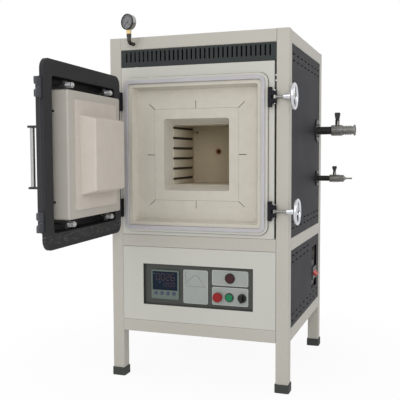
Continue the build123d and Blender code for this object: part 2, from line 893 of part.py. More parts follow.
bar_clearance = 0.05

handle_z = furnace_z - handle_drop

with BuildPart() as door_handle:
    with BuildSketch(door_plane(cover_face_out)):
        with Locations((handle_along, handle_z)):
            with GridLocations(1, handle_length - handle_foot, 1, 2):
                Rectangle(handle_bracket_width, handle_foot)
    extrude(amount=handle_stand + handle_radius + handle_bracket_nose)
    with BuildSketch(Plane.XY.offset(handle_z - handle_length / 2)):
        with Locations((handle_centre.X, handle_centre.Y)):
            Circle(handle_radius + bar_clearance)
    extrude(amount=handle_length, mode=Mode.SUBTRACT)
    with BuildSketch(Plane.XY.offset(handle_z - handle_length / 2)):
        with Locations((handle_centre.X, handle_centre.Y)):
            Circle(handle_radius)
    extrude(amount=handle_length)
door_handle.part.label = "door_handle"
export_step(door_handle.part, "parts/door_handle.step")

# ------------------------------------------------------------------------- door plug
with BuildPart() as plug_casing:
    with BuildSketch(door_plane(-casing_front)):
        with Locations(door_spot):
            RectangleRounded(casing_width, casing_height, 6)
    extrude(amount=casing_front + casing_back)
    fillet(plug_casing.faces().sort_by(Axis((0, 0, 0), door_outward))[0].edges(), radius=4)
    with BuildSketch(door_plane(-casing_front + casing_wall)):
        with Locations(door_spot):
            Rectangle(casing_width - 2 * casing_wall, casing_height - 2 * casing_wall)
    extrude(amount=casing_front + casing_back, mode=Mode.SUBTRACT)
    with BuildSketch(door_plane(-lug_front)):
        with Locations(door_spot):
            with GridLocations(2 * stud_spread, casing_height + lug_height, 2, 2):
                RectangleRounded(lug_width, lug_height, 4)
            with GridLocations(2 * stud_spread, casing_height + 6, 2, 2):
                Rectangle(lug_width, 7)
        with Locations(stud_spots):
            Circle(stud_radius + stud_clearance, mode=Mode.SUBTRACT)
    extrude(amount=lug_thickness)
    with BuildSketch(door_plane(-lug_front - 1)):
        with Locations(door_spot):
            Rectangle(casing_width - 2 * casing_wall, casing_height - 2 * casing_wall)
    extrude(amount=lug_thickness + 2, mode=Mode.SUBTRACT)
plug_casing.part.label = "plug_casing"
export_step(plug_casing.part, "parts/plug_casing.step")

with BuildPart() as plug_block:
    with BuildSketch(door_plane(-casing_front + casing_wall + slab_gap)):
        with Locations(door_spot):
            fill = 2 * (casing_wall + block_clearance)
            Rectangle(casing_width - fill, casing_height - fill)
    extrude(amount=casing_front + casing_back - 2 * casing_wall)
    with BuildSketch(door_plane(-casing_front)):
        with Locations(door_spot):
            RectangleRounded(board_width, board_height, 4)
    extrude(amount=-board_thickness)
    with BuildSketch(door_plane(-casing_front - board_thickness)):
        with Locations(door_spot):
            RectangleRounded(plug_base_width, plug_base_height, 6)
    with BuildSketch(door_plane(-casing_front - board_thickness - plug_length)):
        with Locations(door_spot):
            RectangleRounded(plug_tip_width, plug_tip_height, 6)
    loft()
    fillet(plug_block.faces().sort_by(Axis((0, 0, 0), door_outward))[0].edges(), radius=5)
plug_block.part.label = "plug_block"
export_step(plug_block.part, "parts/plug_block.step")

spring_pitch = (spring_length - 2 * spring_wire) / spring_turns
spring_start = -(lug_front + spring_wire)

with BuildPart() as plug_springs:
    for spot in stud_spots:
        foot = door_plane(spring_start).from_local_coords(Vector(*spot))
        axis = tuple(-i for i in door_outward)
        path = Helix(spring_pitch, spring_pitch * spring_turns, spring_radius, center=foot, direction=axis)
        with BuildSketch(Plane(origin=path @ 0, z_dir=path % 0)) as wire:
            Circle(spring_wire)
        sweep(wire.sketch, path=path, is_frenet=True)
plug_springs.part.label = "plug_springs"
export_step(plug_springs.part, "parts/plug_springs.step")

# --------------------------------------------------------------------- swing clamps
clamp_y = front - clamp_stand
clamp_base_left = furnace_x + flange_width / 2 + clamp_base_gap
pin_bore = clamp_pin_radius + clamp_pin_clearance
lug_inner = eye_thickness / 2 + eye_gap

with BuildPart() as clamp_brackets:
    for z in latch_heights:
        with BuildSketch(Plane.XY.offset(z - clamp_base_height / 2)):
            base_deep = control_face - clamp_y + clamp_lug_radius
            with Locations((clamp_base_left + clamp_base_width / 2, control_face - base_deep / 2)):
                Rectangle(clamp_base_width, base_deep)
        extrude(amount=clamp_base_height)
        for low in (lug_inner, -lug_inner - clamp_lug_thickness):
            with BuildSketch(Plane.XY.offset(z + low)):
                with Locations(((clamp_base_left + clamp_x) / 2, clamp_y)):
                    Rectangle(clamp_x - clamp_base_left, 2 * clamp_lug_radius)
                with Locations((clamp_x, clamp_y)):
                    Circle(clamp_lug_radius)
                    Circle(pin_bore, mode=Mode.SUBTRACT)
            extrude(amount=clamp_lug_thickness)
clamp_brackets.part.label = "clamp_brackets"
export_step(clamp_brackets.part, "parts/clamp_brackets.step")

pin_head = 1.6
hinge_pins = [(hinge_x, hinge_y, z, knuckle_base, hinge_pin_radius) for z in latch_heights]
clamp_tall = lug_inner + clamp_lug_thickness
clamp_pins = [(clamp_x, clamp_y, z, clamp_tall, clamp_pin_radius) for z in latch_heights]

with BuildPart() as pivot_pins:
    for x, y, z, half_long, radius in hinge_pins + clamp_pins:
        with BuildSketch(Plane.XY.offset(z - half_long - pin_head)):
            with Locations((x, y)):
                Circle(radius)
        extrude(amount=2 * half_long + pin_head)
        with BuildSketch(Plane.XY.offset(z + half_long)):
            with Locations((x, y)):
                Circle(radius + 1.5)
        extrude(amount=pin_head)
pivot_pins.part.label = "pivot_pins"
export_step(pivot_pins.part, "parts/pivot_pins.step")


def clamp_bolt(z):
    """Eye bolt lying across the front of the post, its thread pointing right."""
    with BuildSketch(Plane.XY.offset(z - eye_thickness / 2)) as eye:
        with Locations((clamp_x, clamp_y)):
            Circle(eye_radius)
    extrude(eye.sketch, amount=eye_thickness)
    with BuildSketch(siding(clamp_x)) as rod:
        with Locations((clamp_y, z)):
            Circle(rod_radius)
    extrude(rod.sketch, amount=rod_length)
    with BuildSketch(Plane.XY.offset(z - eye_thickness)) as bore:
        with Locations((clamp_x, clamp_y)):
            Circle(pin_bore)
    extrude(bore.sketch, amount=2 * eye_thickness, mode=Mode.SUBTRACT)


def clamp_nut(z, distance):
    """Long-nosed thrust nut with a collar, its nose distance from the pivot pin."""
    nut_shape = ((nut_nose_radius, nut_nose_length, 0), (nut_collar_radius, nut_collar_length, nut_nose_length))
    for radius, length, start in nut_shape:
        with BuildSketch(siding(clamp_x + distance + start)) as step:
            with Locations((clamp_y, z)):
                Circle(radius)
                Circle(rod_radius + rod_clearance, mode=Mode.SUBTRACT)
        extrude(step.sketch, amount=length)


def handwheel(z, distance):
    """Three-spoked wheel on a hub, the hub starting distance from the pivot pin."""
    with BuildSketch(siding(clamp_x + distance)) as hub:
        with Locations((clamp_y, z)):
            Circle(hub_radius)
    extrude(hub.sketch, amount=hub_length)
    rim_x = clamp_x + distance + wheel_rim_offset
    for i in range(spoke_count):
        angle = 2 * pi * i / spoke_count + pi / 2
        arm = (0, cos(angle), sin(angle))
        with BuildSketch(Plane(origin=(rim_x - 0.8, clamp_y, z), z_dir=arm)) as spoke:
            Circle(spoke_radius)
        extrude(spoke.sketch, amount=wheel_radius)
    with BuildSketch(Plane(origin=(rim_x, clamp_y, z), x_dir=(0, 0, 1), z_dir=(0, 1, 0))) as rim:
        with Locations((wheel_radius, 0)):
            Circle(wheel_rim_radius)
    revolve(rim.sketch, axis=Axis((rim_x, clamp_y, z), (1, 0, 0)))
    with BuildSketch(siding(clamp_x + distance)) as bore:
        with Locations((clamp_y, z)):
            Circle(rod_radius + rod_clearance)
    extrude(bore.sketch, amount=2 * hub_length, mode=Mode.SUBTRACT)


wheel_start = nut_nose_length + nut_collar_length + hub_gap

with BuildPart() as clamp_bolt_upper:
    clamp_bolt(latch_heights[0])
clamp_bolt_upper.part.label = "clamp_bolt_upper"
export_step(clamp_bolt_upper.part, "parts/clamp_bolt_upper.step")

with BuildPart() as clamp_bolt_lower:
    clamp_bolt(latch_heights[1])
clamp_bolt_lower.part.label = "clamp_bolt_lower"
export_step(clamp_bolt_lower.part, "parts/clamp_bolt_lower.step")

with BuildPart() as clamp_nut_upper:
    clamp_nut(latch_heights[0], upper_nut_distance)
clamp_nut_upper.part.label = "clamp_nut_upper"
export_step(clamp_nut_upper.part, "parts/clamp_nut_upper.step")

with BuildPart() as clamp_nut_lower:
    clamp_nut(latch_heights[1], lower_nut_distance)
clamp_nut_lower.part.label = "clamp_nut_lower"
export_step(clamp_nut_lower.part, "parts/clamp_nut_lower.step")

with BuildPart() as handwheel_upper:
    handwheel(latch_heights[0], upper_nut_distance + wheel_start)
handwheel_upper.part.label = "handwheel_upper"
export_step(handwheel_upper.part, "parts/handwheel_upper.step")

with BuildPart() as handwheel_lower:
    handwheel(latch_heights[1], lower_nut_distance + wheel_start)
handwheel_lower.part.label = "handwheel_lower"
export_step(handwheel_lower.part, "parts/handwheel_lower.step")

# -------------------------------------------------------------------- control panel
fascia_clearance = 0.2
fascia_wall = 1.5
fascia_floor = 2
pilot_hole = pilot_radius + pilot_bore_clearance
pilots = [
    (button_plate_x, alarm_plate_z),
    (stop_x, pilot_row_z),
    (start_x, pilot_row_z),
    (selector_x, pilot_row_z),
]
key_spots = [(controller_x + (i - 1.5) * key_pitch, controller_z - key_drop) for i in range(4)]
screen_spot = (controller_x, controller_z + screen_rise)

with BuildPart() as control_fascia:
    with BuildSketch(facing(control_face)):
        with Locations((0, control_z)):
            Rectangle(control_width - 2 * fascia_clearance, control_height - 2 * fascia_clearance)
    extrude(amount=-(control_recess + fascia_floor))
    with BuildSketch(facing(control_face)):
        with Locations((0, control_z)):
            inside = 2 * (fascia_clearance + fascia_wall)
            Rectangle(control_width - inside, control_height - inside)
    extrude(amount=-control_recess, mode=Mode.SUBTRACT)
    with BuildSketch(facing(control_face)):
        with Locations((controller_x, controller_z)):
            Rectangle(controller_body + 1, controller_body + 1)
        with Locations(pilots):
            Circle(pilot_hole)
    extrude(amount=-2 * (control_recess + fascia_floor), mode=Mode.SUBTRACT)
control_fascia.part.label = "control_fascia"
export_step(control_fascia.part, "parts/control_fascia.step")

controller_front = control_floor - controller_stand

with BuildPart() as controller_case:
    with BuildSketch(facing(controller_front)):
        with Locations((controller_x, controller_z)):
            RectangleRounded(controller_size, controller_size, controller_corner)
    extrude(amount=-controller_stand)
    fillet(controller_case.faces().sort_by(Axis.Y)[0].edges(), radius=1.5)
    with BuildSketch(facing(control_floor)):
        with Locations((controller_x, controller_z)):
            Rectangle(controller_body, controller_body)
    extrude(amount=-controller_body_depth)
    with BuildSketch(facing(controller_front)):
        with Locations(screen_spot):
            Rectangle(screen_width, screen_height)
    extrude(amount=-(screen_sink + 1.5), mode=Mode.SUBTRACT)
    with BuildSketch(facing(controller_front)):
        with Locations(key_spots):
            Circle(key_radius + key_clearance)
    extrude(amount=-(key_length + key_travel), mode=Mode.SUBTRACT)
controller_case.part.label = "controller_case"
export_step(controller_case.part, "parts/controller_case.step")

with BuildPart() as controller_screen:
    with BuildSketch(facing(controller_front + screen_sink)):
        with Locations(screen_spot):
            Rectangle(screen_width - 0.2, screen_height - 0.2)
    extrude(amount=-1.5)
controller_screen.part.label = "controller_screen"
export_step(controller_screen.part, "parts/controller_screen.step")


def controller_key(spot):
    """Round push key standing a little proud of the controller's bezel."""
    with BuildSketch(facing(controller_front - key_proud)) as cap:
        with Locations(spot):
            Circle(key_radius)
    extrude(cap.sketch, amount=-(key_proud + key_length))


with BuildPart() as key_set:
    controller_key(key_spots[0])
key_set.part.label = "key_set"
export_step(key_set.part, "parts/key_set.step")

with BuildPart() as key_shift:
    controller_key(key_spots[1])
key_shift.part.label = "key_shift"
export_step(key_shift.part, "parts/key_shift.step")

with BuildPart() as key_down:
    controller_key(key_spots[2])
key_down.part.label = "key_down"
export_step(key_down.part, "parts/key_down.step")

with BuildPart() as key_up:
    controller_key(key_spots[3])
key_up.part.label = "key_up"
export_step(key_up.part, "parts/key_up.step")

plate_front = control_floor - plate_thickness

with BuildPart() as panel_plates:
    with BuildSketch(facing(plate_front)):
        with Locations((card_x, card_z)):
            RectangleRounded(card_width, card_height, plate_corner)
        with Locations((button_plate_x, alarm_plate_z)):
            RectangleRounded(button_plate_width, alarm_plate_height, plate_corner)
        with Locations((button_plate_x, switch_plate_z)):
            RectangleRounded(button_plate_width, switch_plate_height, plate_corner)
        with Locations(pilots):
            Circle(pilot_hole, mode=Mode.SUBTRACT)
    extrude(amount=-plate_thickness)
panel_plates.part.label = "panel_plates"
export_step(panel_plates.part, "parts/panel_plates.step")

collar_front_y = plate_front - collar_stand
pilot_bore = pilot_radius - pilot_wall
stem_radius = pilot_bore - stem_clearance
cap_radius = 11.4
cap_pocket = 11.7
collars = [(alarm_radius + 1.5, pilots[0]), (stop_collar, pilots[1]), (start_collar, pilots[2])]
collars.append((selector_collar, pilots[3]))

with BuildPart() as panel_collars:
    for radius, spot in collars:
        with BuildSketch(facing(collar_front_y)):
            with Locations(spot):
                Circle(radius)
        extrude(amount=-collar_stand)
    rims = panel_collars.faces().filter_by(Plane.XZ).group_by(Axis.Y)[0]
    chamfer(rims.edges(), length=1.2)
    with BuildSketch(facing(plate_front)):
        with Locations(pilots):
            Circle(pilot_radius)
    extrude(amount=-pilot_length)
    with BuildSketch(facing(collar_front_y)):
        with Locations(pilots):
            Circle(pilot_bore)
    extrude(amount=-(collar_stand + pilot_length - 2), mode=Mode.SUBTRACT)
    with BuildSketch(facing(collar_front_y)):
        with Locations(pilots[2]):
            Circle(cap_pocket)
    extrude(amount=-collar_stand + 0.3, mode=Mode.SUBTRACT)
panel_collars.part.label = "panel_collars"
export_step(panel_collars.part, "parts/panel_collars.step")

with BuildPart() as alarm_lens:
    with BuildSketch(facing(collar_front_y)):
        with Locations(pilots[0]):
            Circle(alarm_radius - 0.5)
    extrude(amount=alarm_rise)
    fillet(alarm_lens.faces().sort_by(Axis.Y)[0].edges(), radius=3)
    with BuildSketch(facing(collar_front_y)):
        with Locations(pilots[0]):
            Circle(stem_radius)
    extrude(amount=-pilot_length / 2)
alarm_lens.part.label = "alarm_lens"
export_step(alarm_lens.part, "parts/alarm_lens.step")

stem_length = pilot_length - 2 - stop_travel - 0.5
stop_back = collar_front_y - stop_travel - 0.3

with BuildPart() as stop_button:
    with BuildSketch(facing(stop_back)):
        with Locations(pilots[1]):
            Circle(stop_radius)
    extrude(amount=stop_head)
    fillet(stop_button.faces().sort_by(Axis.Y)[0].edges(), radius=2.5)
    with BuildSketch(facing(stop_back)):
        with Locations(pilots[1]):
            Circle(stem_radius)
    extrude(amount=-(stem_length + stop_travel))
stop_button.part.label = "stop_button"
export_step(stop_button.part, "parts/stop_button.step")

cap_back = plate_front - 0.6 - start_travel

with BuildPart() as start_button:
    with BuildSketch(facing(cap_back)):
        with Locations(pilots[2]):
            Circle(cap_radius)
    extrude(amount=3)
    fillet(start_button.faces().sort_by(Axis.Y)[0].edges(), radius=0.8)
    with BuildSketch(facing(cap_back)):
        with Locations(pilots[2]):
            Circle(stem_radius)
    extrude(amount=-stem_length)
start_button.part.label = "start_button"
export_step(start_button.part, "parts/start_button.step")

knob_back = collar_front_y - 0.3
selector_stem = pilot_bore - 0.04

with BuildPart() as selector_knob:
    with BuildSketch(facing(knob_back)):
        with Locations(pilots[3]):
            Circle(selector_radius)
    extrude(amount=3)
    with BuildSketch(facing(knob_back - 3)):
        with Locations(pilots[3]):
            SlotOverall(selector_bar_length, selector_bar_width, rotation=90)
    extrude(amount=selector_bar_height, taper=4)
    with BuildSketch(facing(knob_back)):
        with Locations(pilots[3]):
            Circle(selector_stem)
    extrude(amount=-stem_length)
selector_knob.part.label = "selector_knob"
export_step(selector_knob.part, "parts/selector_knob.step")

# -------------------------------------------------------------------------- breaker
side_inner = side_face - sheet
breaker_back = side_face + 1 - breaker_depth
rail_thickness = 2
breaker_nose_x = side_face + 1
breaker_face_x = breaker_nose_x - breaker_step
toggle_x = breaker_nose_x - toggle_sink
toggle_bore = toggle_radius + toggle_clearance

with BuildPart() as breaker_body:
    with BuildSketch(siding(breaker_back)):
        with Locations((breaker_y, breaker_z)):
            Rectangle(breaker_width, breaker_height)
    extrude(amount=breaker_face_x - breaker_back)
    with BuildSketch(siding(breaker_face_x)):
        with Locations((breaker_y, breaker_z)):
            Rectangle(breaker_width, breaker_nose)
    extrude(amount=breaker_step)
    for i in (-0.5, 0.5):
        with BuildSketch(siding(breaker_face_x - 3)):
            with Locations((breaker_y + i * breaker_width / 2, breaker_z)):
                Rectangle(0.8, breaker_height)
        extrude(amount=breaker_step + 4, mode=Mode.SUBTRACT)
    with BuildSketch(facing(breaker_y - toggle_width / 2 - 0.4)):
        with Locations((toggle_x, breaker_z)):
            Circle(toggle_bore)
    extrude(amount=-(toggle_width + 0.8), mode=Mode.SUBTRACT)
    with BuildSketch(facing(breaker_y - toggle_width / 2 - 6)):
        with Locations((toggle_x, breaker_z)):
            Circle(2.05)
    extrude(amount=-(toggle_width + 12), mode=Mode.SUBTRACT)
breaker_body.part.label = "breaker_body"
export_step(breaker_body.part, "parts/breaker_body.step")

tilt = radians(toggle_tilt)

with BuildPart() as breaker_toggle:
    with BuildSketch(facing(breaker_y - toggle_width / 2)):
        with Locations((toggle_x, breaker_z)):
            Circle(toggle_radius)
        with Locations((toggle_x + toggle_reach / 2 * cos(tilt), breaker_z + toggle_reach / 2 * sin(tilt))):
            Rectangle(toggle_reach, toggle_thickness, rotation=toggle_tilt)
    extrude(amount=-toggle_width)
    with BuildSketch(facing(breaker_y - toggle_width / 2 - 5.6)):
        with Locations((toggle_x, breaker_z)):
            Circle(2)
    extrude(amount=-(toggle_width + 11.2))
breaker_toggle.part.label = "breaker_toggle"
export_step(breaker_toggle.part, "parts/breaker_toggle.step")

rail_reach = window_width / 2 + 8

with BuildPart() as breaker_rail:
    with BuildSketch(siding(breaker_back - rail_thickness)):
        with Locations((breaker_y, breaker_z)):
            Rectangle(2 * rail_reach, breaker_rail_width)
    extrude(amount=rail_thickness)
    with BuildSketch(siding(breaker_back - rail_thickness)):
        for sign in (1, -1):
            with Locations((breaker_y + sign * (rail_reach - rail_thickness / 2), breaker_z)):
                Rectangle(rail_thickness, breaker_rail_width)
    extrude(amount=side_inner - breaker_back + rail_thickness)
breaker_rail.part.label = "breaker_rail"
export_step(breaker_rail.part, "parts/breaker_rail.step")

# ---------------------------------------------------------------------------- ports
ports = [
    (vacuum_z, vacuum_disc_radius, vacuum_pipe_radius, vacuum_bore, vacuum_pipe_end),
    (gas_z, gas_disc_radius, gas_pipe_radius, gas_bore, gas_pipe_end),
]

with BuildPart() as port_flanges:
    for z, disc, pipe, bore, end in ports:
        with BuildSketch(siding(side_face)):
            with Locations((port_y, z)):
                Circle(disc)
        extrude(amount=port_disc_thickness)
        with BuildSketch(siding(shell_right)):
            with Locations((port_y, z)):
                Circle(pipe)
        extrude(amount=end - shell_right)
        with BuildSketch(siding(shell_right)):
            with Locations((port_y, z)):
                Circle(bore)
        extrude(amount=end - shell_right, mode=Mode.SUBTRACT)
        with BuildSketch(siding(side_face + port_disc_thickness)):
            with Locations((port_y, z)):
                with PolarLocations((disc + pipe) / 2 + 1, 4, start_angle=45):
                    RegularPolygon(4, 6)
        extrude(amount=2.5)
port_flanges.part.label = "port_flanges"
export_step(port_flanges.part, "parts/port_flanges.step")

joint_gap = 0.05
adapter_start = vacuum_pipe_end + vacuum_body_length + joint_gap
adapter_ridges = 4
lever_x = vacuum_pipe_end + 22
boss_top = vacuum_z + vacuum_body_radius + 14
boss_radius = 8
lever_stem = 5
adapter_end = vacuum_pipe_end + vacuum_body_length + vacuum_adapter_length

with BuildPart() as vacuum_valve:
    with BuildSketch(siding(vacuum_pipe_end)):
        with Locations((port_y, vacuum_z)):
            Circle(vacuum_body_radius)
    extrude(amount=vacuum_body_length)
    fillet(vacuum_valve.edges(), radius=3)
    with BuildSketch(Plane.XY.offset(vacuum_z)):
        with Locations((lever_x, port_y)):
            Circle(boss_radius)
    extrude(amount=boss_top - vacuum_z)
    with BuildSketch(siding(vacuum_pipe_end)):
        with Locations((port_y, vacuum_z)):
            Circle(vacuum_bore)
    extrude(amount=vacuum_body_length, mode=Mode.SUBTRACT)
    with BuildSketch(Plane.XY.offset(vacuum_z + vacuum_bore + 3)):
        with Locations((lever_x, port_y)):
            Circle(lever_stem + valve_stem_clearance)
    extrude(amount=boss_top, mode=Mode.SUBTRACT)
    with BuildSketch(siding(adapter_start)):
        with Locations((port_y, vacuum_z)):
            Circle(15)
    extrude(amount=adapter_end - adapter_start)
    for i in range(adapter_ridges):
        with BuildSketch(siding(adapter_start + 1 + i * 8.5)):
            with Locations((port_y, vacuum_z)):
                Circle(17)
        extrude(amount=5)
    with BuildSketch(siding(adapter_end - vacuum_flange_thickness)):
        with Locations((port_y, vacuum_z)):
            Circle(vacuum_flange_radius)
    extrude(amount=vacuum_flange_thickness)
    chamfer(vacuum_valve.faces().sort_by(Axis.X)[-1].edges(), length=1)
    with BuildSketch(siding(adapter_start)):
        with Locations((port_y, vacuum_z)):
            Circle(adapter_bore)
    extrude(amount=vacuum_adapter_length, mode=Mode.SUBTRACT)
vacuum_valve.part.label = "vacuum_valve"
export_step(vacuum_valve.part, "parts/vacuum_valve.step")


def paddle(x, base, top, narrow, wide, thick):
    """Flat paddle grip standing on a valve stem, widening towards its top."""
    with BuildSketch(facing(port_y - thick / 2)) as grip:
        with BuildLine() as outline:
            Polyline(
                (x - narrow / 2, base),
                (x + narrow / 2, base),
                (x + wide / 2, top),
                (x - wide / 2, top),
                close=True,
            )
        make_face()
        fillet(grip.vertices().group_by(Axis.Z)[-1], radius=4)
    extrude(grip.sketch, amount=-thick)


lever_foot = boss_top + 0.4
grip_overlap = 1

with BuildPart() as vacuum_lever:
    with BuildSketch(Plane.XY.offset(vacuum_z + vacuum_bore + 3.5)):
        with Locations((lever_x, port_y)):
            Circle(lever_stem)
    extrude(amount=lever_foot - vacuum_z - vacuum_bore - 3.5)
    with BuildSketch(Plane.XY.offset(lever_foot)):
        with Locations((lever_x, port_y)):
            Circle(boss_radius)
    extrude(amount=4)
    paddle(lever_x, lever_foot + 4 - grip_overlap, lever_foot + 31, 13, 22, 9)
vacuum_lever.part.label = "vacuum_lever"
export_step(vacuum_lever.part, "parts/vacuum_lever.step")

fitting_start = gas_pipe_end + gas_body_length + joint_gap
cone_end = fitting_start + gas_nut_length + gas_cone_length
gas_stem_x = gas_pipe_end + 18
gas_boss_top = gas_z + 23
gas_boss = 6
gas_stem = 3

with BuildPart() as gas_valve:
    with BuildSketch(siding(gas_pipe_end)):
        with Locations((port_y, gas_z)):
            Circle(gas_body_radius)
    extrude(amount=gas_body_length)
    fillet(gas_valve.edges(), radius=2)
    with BuildSketch(Plane.XY.offset(gas_z)):
        with Locations((gas_stem_x, port_y)):
            Circle(gas_boss)
    extrude(amount=gas_boss_top - gas_z)
    with BuildSketch(siding(gas_pipe_end)):
        with Locations((port_y, gas_z)):
            Circle(gas_bore)
    extrude(amount=gas_body_length, mode=Mode.SUBTRACT)
    with BuildSketch(Plane.XY.offset(gas_z + gas_bore + 4)):
        with Locations((gas_stem_x, port_y)):
            Circle(gas_stem + valve_stem_clearance)
    extrude(amount=gas_boss_top, mode=Mode.SUBTRACT)
    with BuildSketch(siding(fitting_start)):
        with Locations((port_y, gas_z)):
            RegularPolygon(gas_nut / 2, 6, major_radius=False)
    extrude(amount=gas_nut_length)
    with BuildSketch(siding(fitting_start + gas_nut_length)):
        with Locations((port_y, gas_z)):
            Circle(10)
    with BuildSketch(siding(cone_end)):
        with Locations((port_y, gas_z)):
            Circle(5)
    loft()
    with BuildSketch(siding(cone_end)):
        with Locations((port_y, gas_z)):
            Circle(gas_tube_radius)
    extrude(amount=gas_tube_length)
    with BuildSketch(siding(fitting_start)):
        with Locations((port_y, gas_z)):
            Circle(gas_tube_bore)
    extrude(amount=cone_end + gas_tube_length - fitting_start, mode=Mode.SUBTRACT)
gas_valve.part.label = "gas_valve"
export_step(gas_valve.part, "parts/gas_valve.step")

gas_lever_foot = gas_boss_top + 0.4

with BuildPart() as gas_handle:
    with BuildSketch(Plane.XY.offset(gas_z + gas_bore + 4.5)):
        with Locations((gas_stem_x, port_y)):
            Circle(gas_stem)
    extrude(amount=gas_lever_foot - gas_z - gas_bore - 4.5)
    with BuildSketch(Plane.XY.offset(gas_lever_foot)):
        with Locations((gas_stem_x, port_y)):
            Circle(gas_boss - 1)
    extrude(amount=3)
    paddle(gas_stem_x, gas_lever_foot + 3 - grip_overlap, gas_lever_foot + 22, 8, 20, 7)
gas_handle.part.label = "gas_handle"
export_step(gas_handle.part, "parts/gas_handle.step")

# ---------------------------------------------------------------------------- gauge
gauge_y = front - gauge_stand
stem_top = gauge_nut_bottom + gauge_nut_height + gauge_stem_height

with BuildPart() as gauge_stem:
    with BuildLine(Plane.YZ.offset(gauge_x)) as route:
        Line((front, gauge_pipe_z), (gauge_y + gauge_bend, gauge_pipe_z))
        RadiusArc((gauge_y + gauge_bend, gauge_pipe_z), (gauge_y, gauge_pipe_z + gauge_bend), gauge_bend)
        Line((gauge_y, gauge_pipe_z + gauge_bend), (gauge_y, gauge_nut_bottom))
    with BuildSketch(facing(front)):
        with Locations((gauge_x, gauge_pipe_z)):
            Circle(gauge_pipe_radius)
    sweep()
    with BuildSketch(Plane.XY.offset(gauge_nut_bottom)):
        with Locations((gauge_x, gauge_y)):
            RegularPolygon(gauge_nut / 2, 6, major_radius=False)
    extrude(amount=gauge_nut_height)
    with BuildSketch(Plane.XY.offset(gauge_nut_bottom + gauge_nut_height)):
        with Locations((gauge_x, gauge_y)):
            Rectangle(gauge_stem_width, gauge_stem_width)
    extrude(amount=gauge_stem_height)
gauge_stem.part.label = "gauge_stem"
export_step(gauge_stem.part, "parts/gauge_stem.step")

turn = radians(gauge_turn_deg)
gauge_normal = (-sin(turn), -cos(turn), 0)
gauge_across = (cos(turn), -sin(turn), 0)


def gauge_plane(out):
    """Plane of the dial, out millimetres in front of the middle of the gauge case."""
    origin = Vector(gauge_x, gauge_y, gauge_centre_z) + out * Vector(*gauge_normal)
    return Plane(origin=origin, x_dir=gauge_across, z_dir=gauge_normal)


gauge_half = gauge_case_depth / 2
dial_out = gauge_half - gauge_bezel_depth
glass_thickness = 1
glass_out = gauge_half - 0.6 - glass_thickness
dial_radius = gauge_radius - 1.5

with BuildPart() as gauge_case:
    with BuildSketch(gauge_plane(-gauge_half)):
        Circle(gauge_radius)
    extrude(amount=gauge_case_depth)
    fillet(gauge_case.faces().sort_by(Axis((0, 0, 0), gauge_normal))[0].edges(), radius=3)
    with BuildSketch(gauge_plane(gauge_half)):
        Circle(gauge_bezel)
    extrude(amount=-gauge_bezel_depth)
    fillet(gauge_case.faces().sort_by(Axis((0, 0, 0), gauge_normal))[-1].edges(), radius=1)
    with BuildSketch(Plane.XY.offset(stem_top)):
        with Locations((gauge_x, gauge_y)):
            Rectangle(gauge_stem_width, gauge_stem_width)
    extrude(amount=gauge_radius / 4)
    with BuildSketch(gauge_plane(gauge_half)):
        Circle(dial_radius)
    extrude(amount=-gauge_bezel_depth, mode=Mode.SUBTRACT)
    with BuildSketch(gauge_plane(dial_out)):
        Circle(1)
    extrude(amount=2.2)
gauge_case.part.label = "gauge_case"
export_step(gauge_case.part, "parts/gauge_case.step")

needle_start_deg = 225

with BuildPart() as gauge_needle:
    with BuildSketch(gauge_plane(dial_out + 0.8)):
        Circle(3)
        with Locations(Location((0, 0, 0), (0, 0, needle_start_deg))):
            with Locations((5.5, 0)):
                Trapezoid(1.6, 25, 88.7, rotation=-90)
    extrude(amount=0.8)
    with BuildSketch(gauge_plane(dial_out + 0.8)):
        Circle(1.04)
    extrude(amount=2, mode=Mode.SUBTRACT)
gauge_needle.part.label = "gauge_needle"
export_step(gauge_needle.part, "parts/gauge_needle.step")

with BuildPart() as gauge_glass:
    with BuildSketch(gauge_plane(glass_out)):
        Circle(dial_radius - 0.1)
    extrude(amount=glass_thickness)
gauge_glass.part.label = "gauge_glass"
export_step(gauge_glass.part, "parts/gauge_glass.step")

# ---------------------------------------------------------------------- cable gland
gland_bore = 7
gland_thread = gland_hole - 0.2
gland_nut = 27
cover_outer = rear - panel_inset

with BuildPart() as cable_gland:
    with BuildSketch(backing(cover_outer)):
        with Locations((-gland_x, gland_z)):
            RegularPolygon(gland_nut / 2, 6, major_radius=False)
    extrude(amount=6)
    with BuildSketch(backing(cover_outer + 6)):
        with Locations((-gland_x, gland_z)):
            Circle(gland_nut / 2 - 1)
    extrude(amount=12)
    fillet(cable_gland.faces().sort_by(Axis.Y)[-1].edges(), radius=4)
    with BuildSketch(backing(cover_outer - sheet - 8)):
        with Locations((-gland_x, gland_z)):
            Circle(gland_thread)
    extrude(amount=8 + sheet)
    with BuildSketch(backing(cover_outer - sheet - 6)):
        with Locations((-gland_x, gland_z)):
            RegularPolygon(gland_nut / 2, 6, major_radius=False)
    extrude(amount=6)
    with BuildSketch(backing(cover_outer - sheet - 8)):
        with Locations((-gland_x, gland_z)):
            Circle(gland_bore)
    extrude(amount=8 + sheet + 18, mode=Mode.SUBTRACT)
cable_gland.part.label = "cable_gland"
export_step(cable_gland.part, "parts/cable_gland.step")
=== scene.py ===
from math import cos, pi, radians, sin

import bpy
import numpy as np
from mathutils import Matrix, Vector


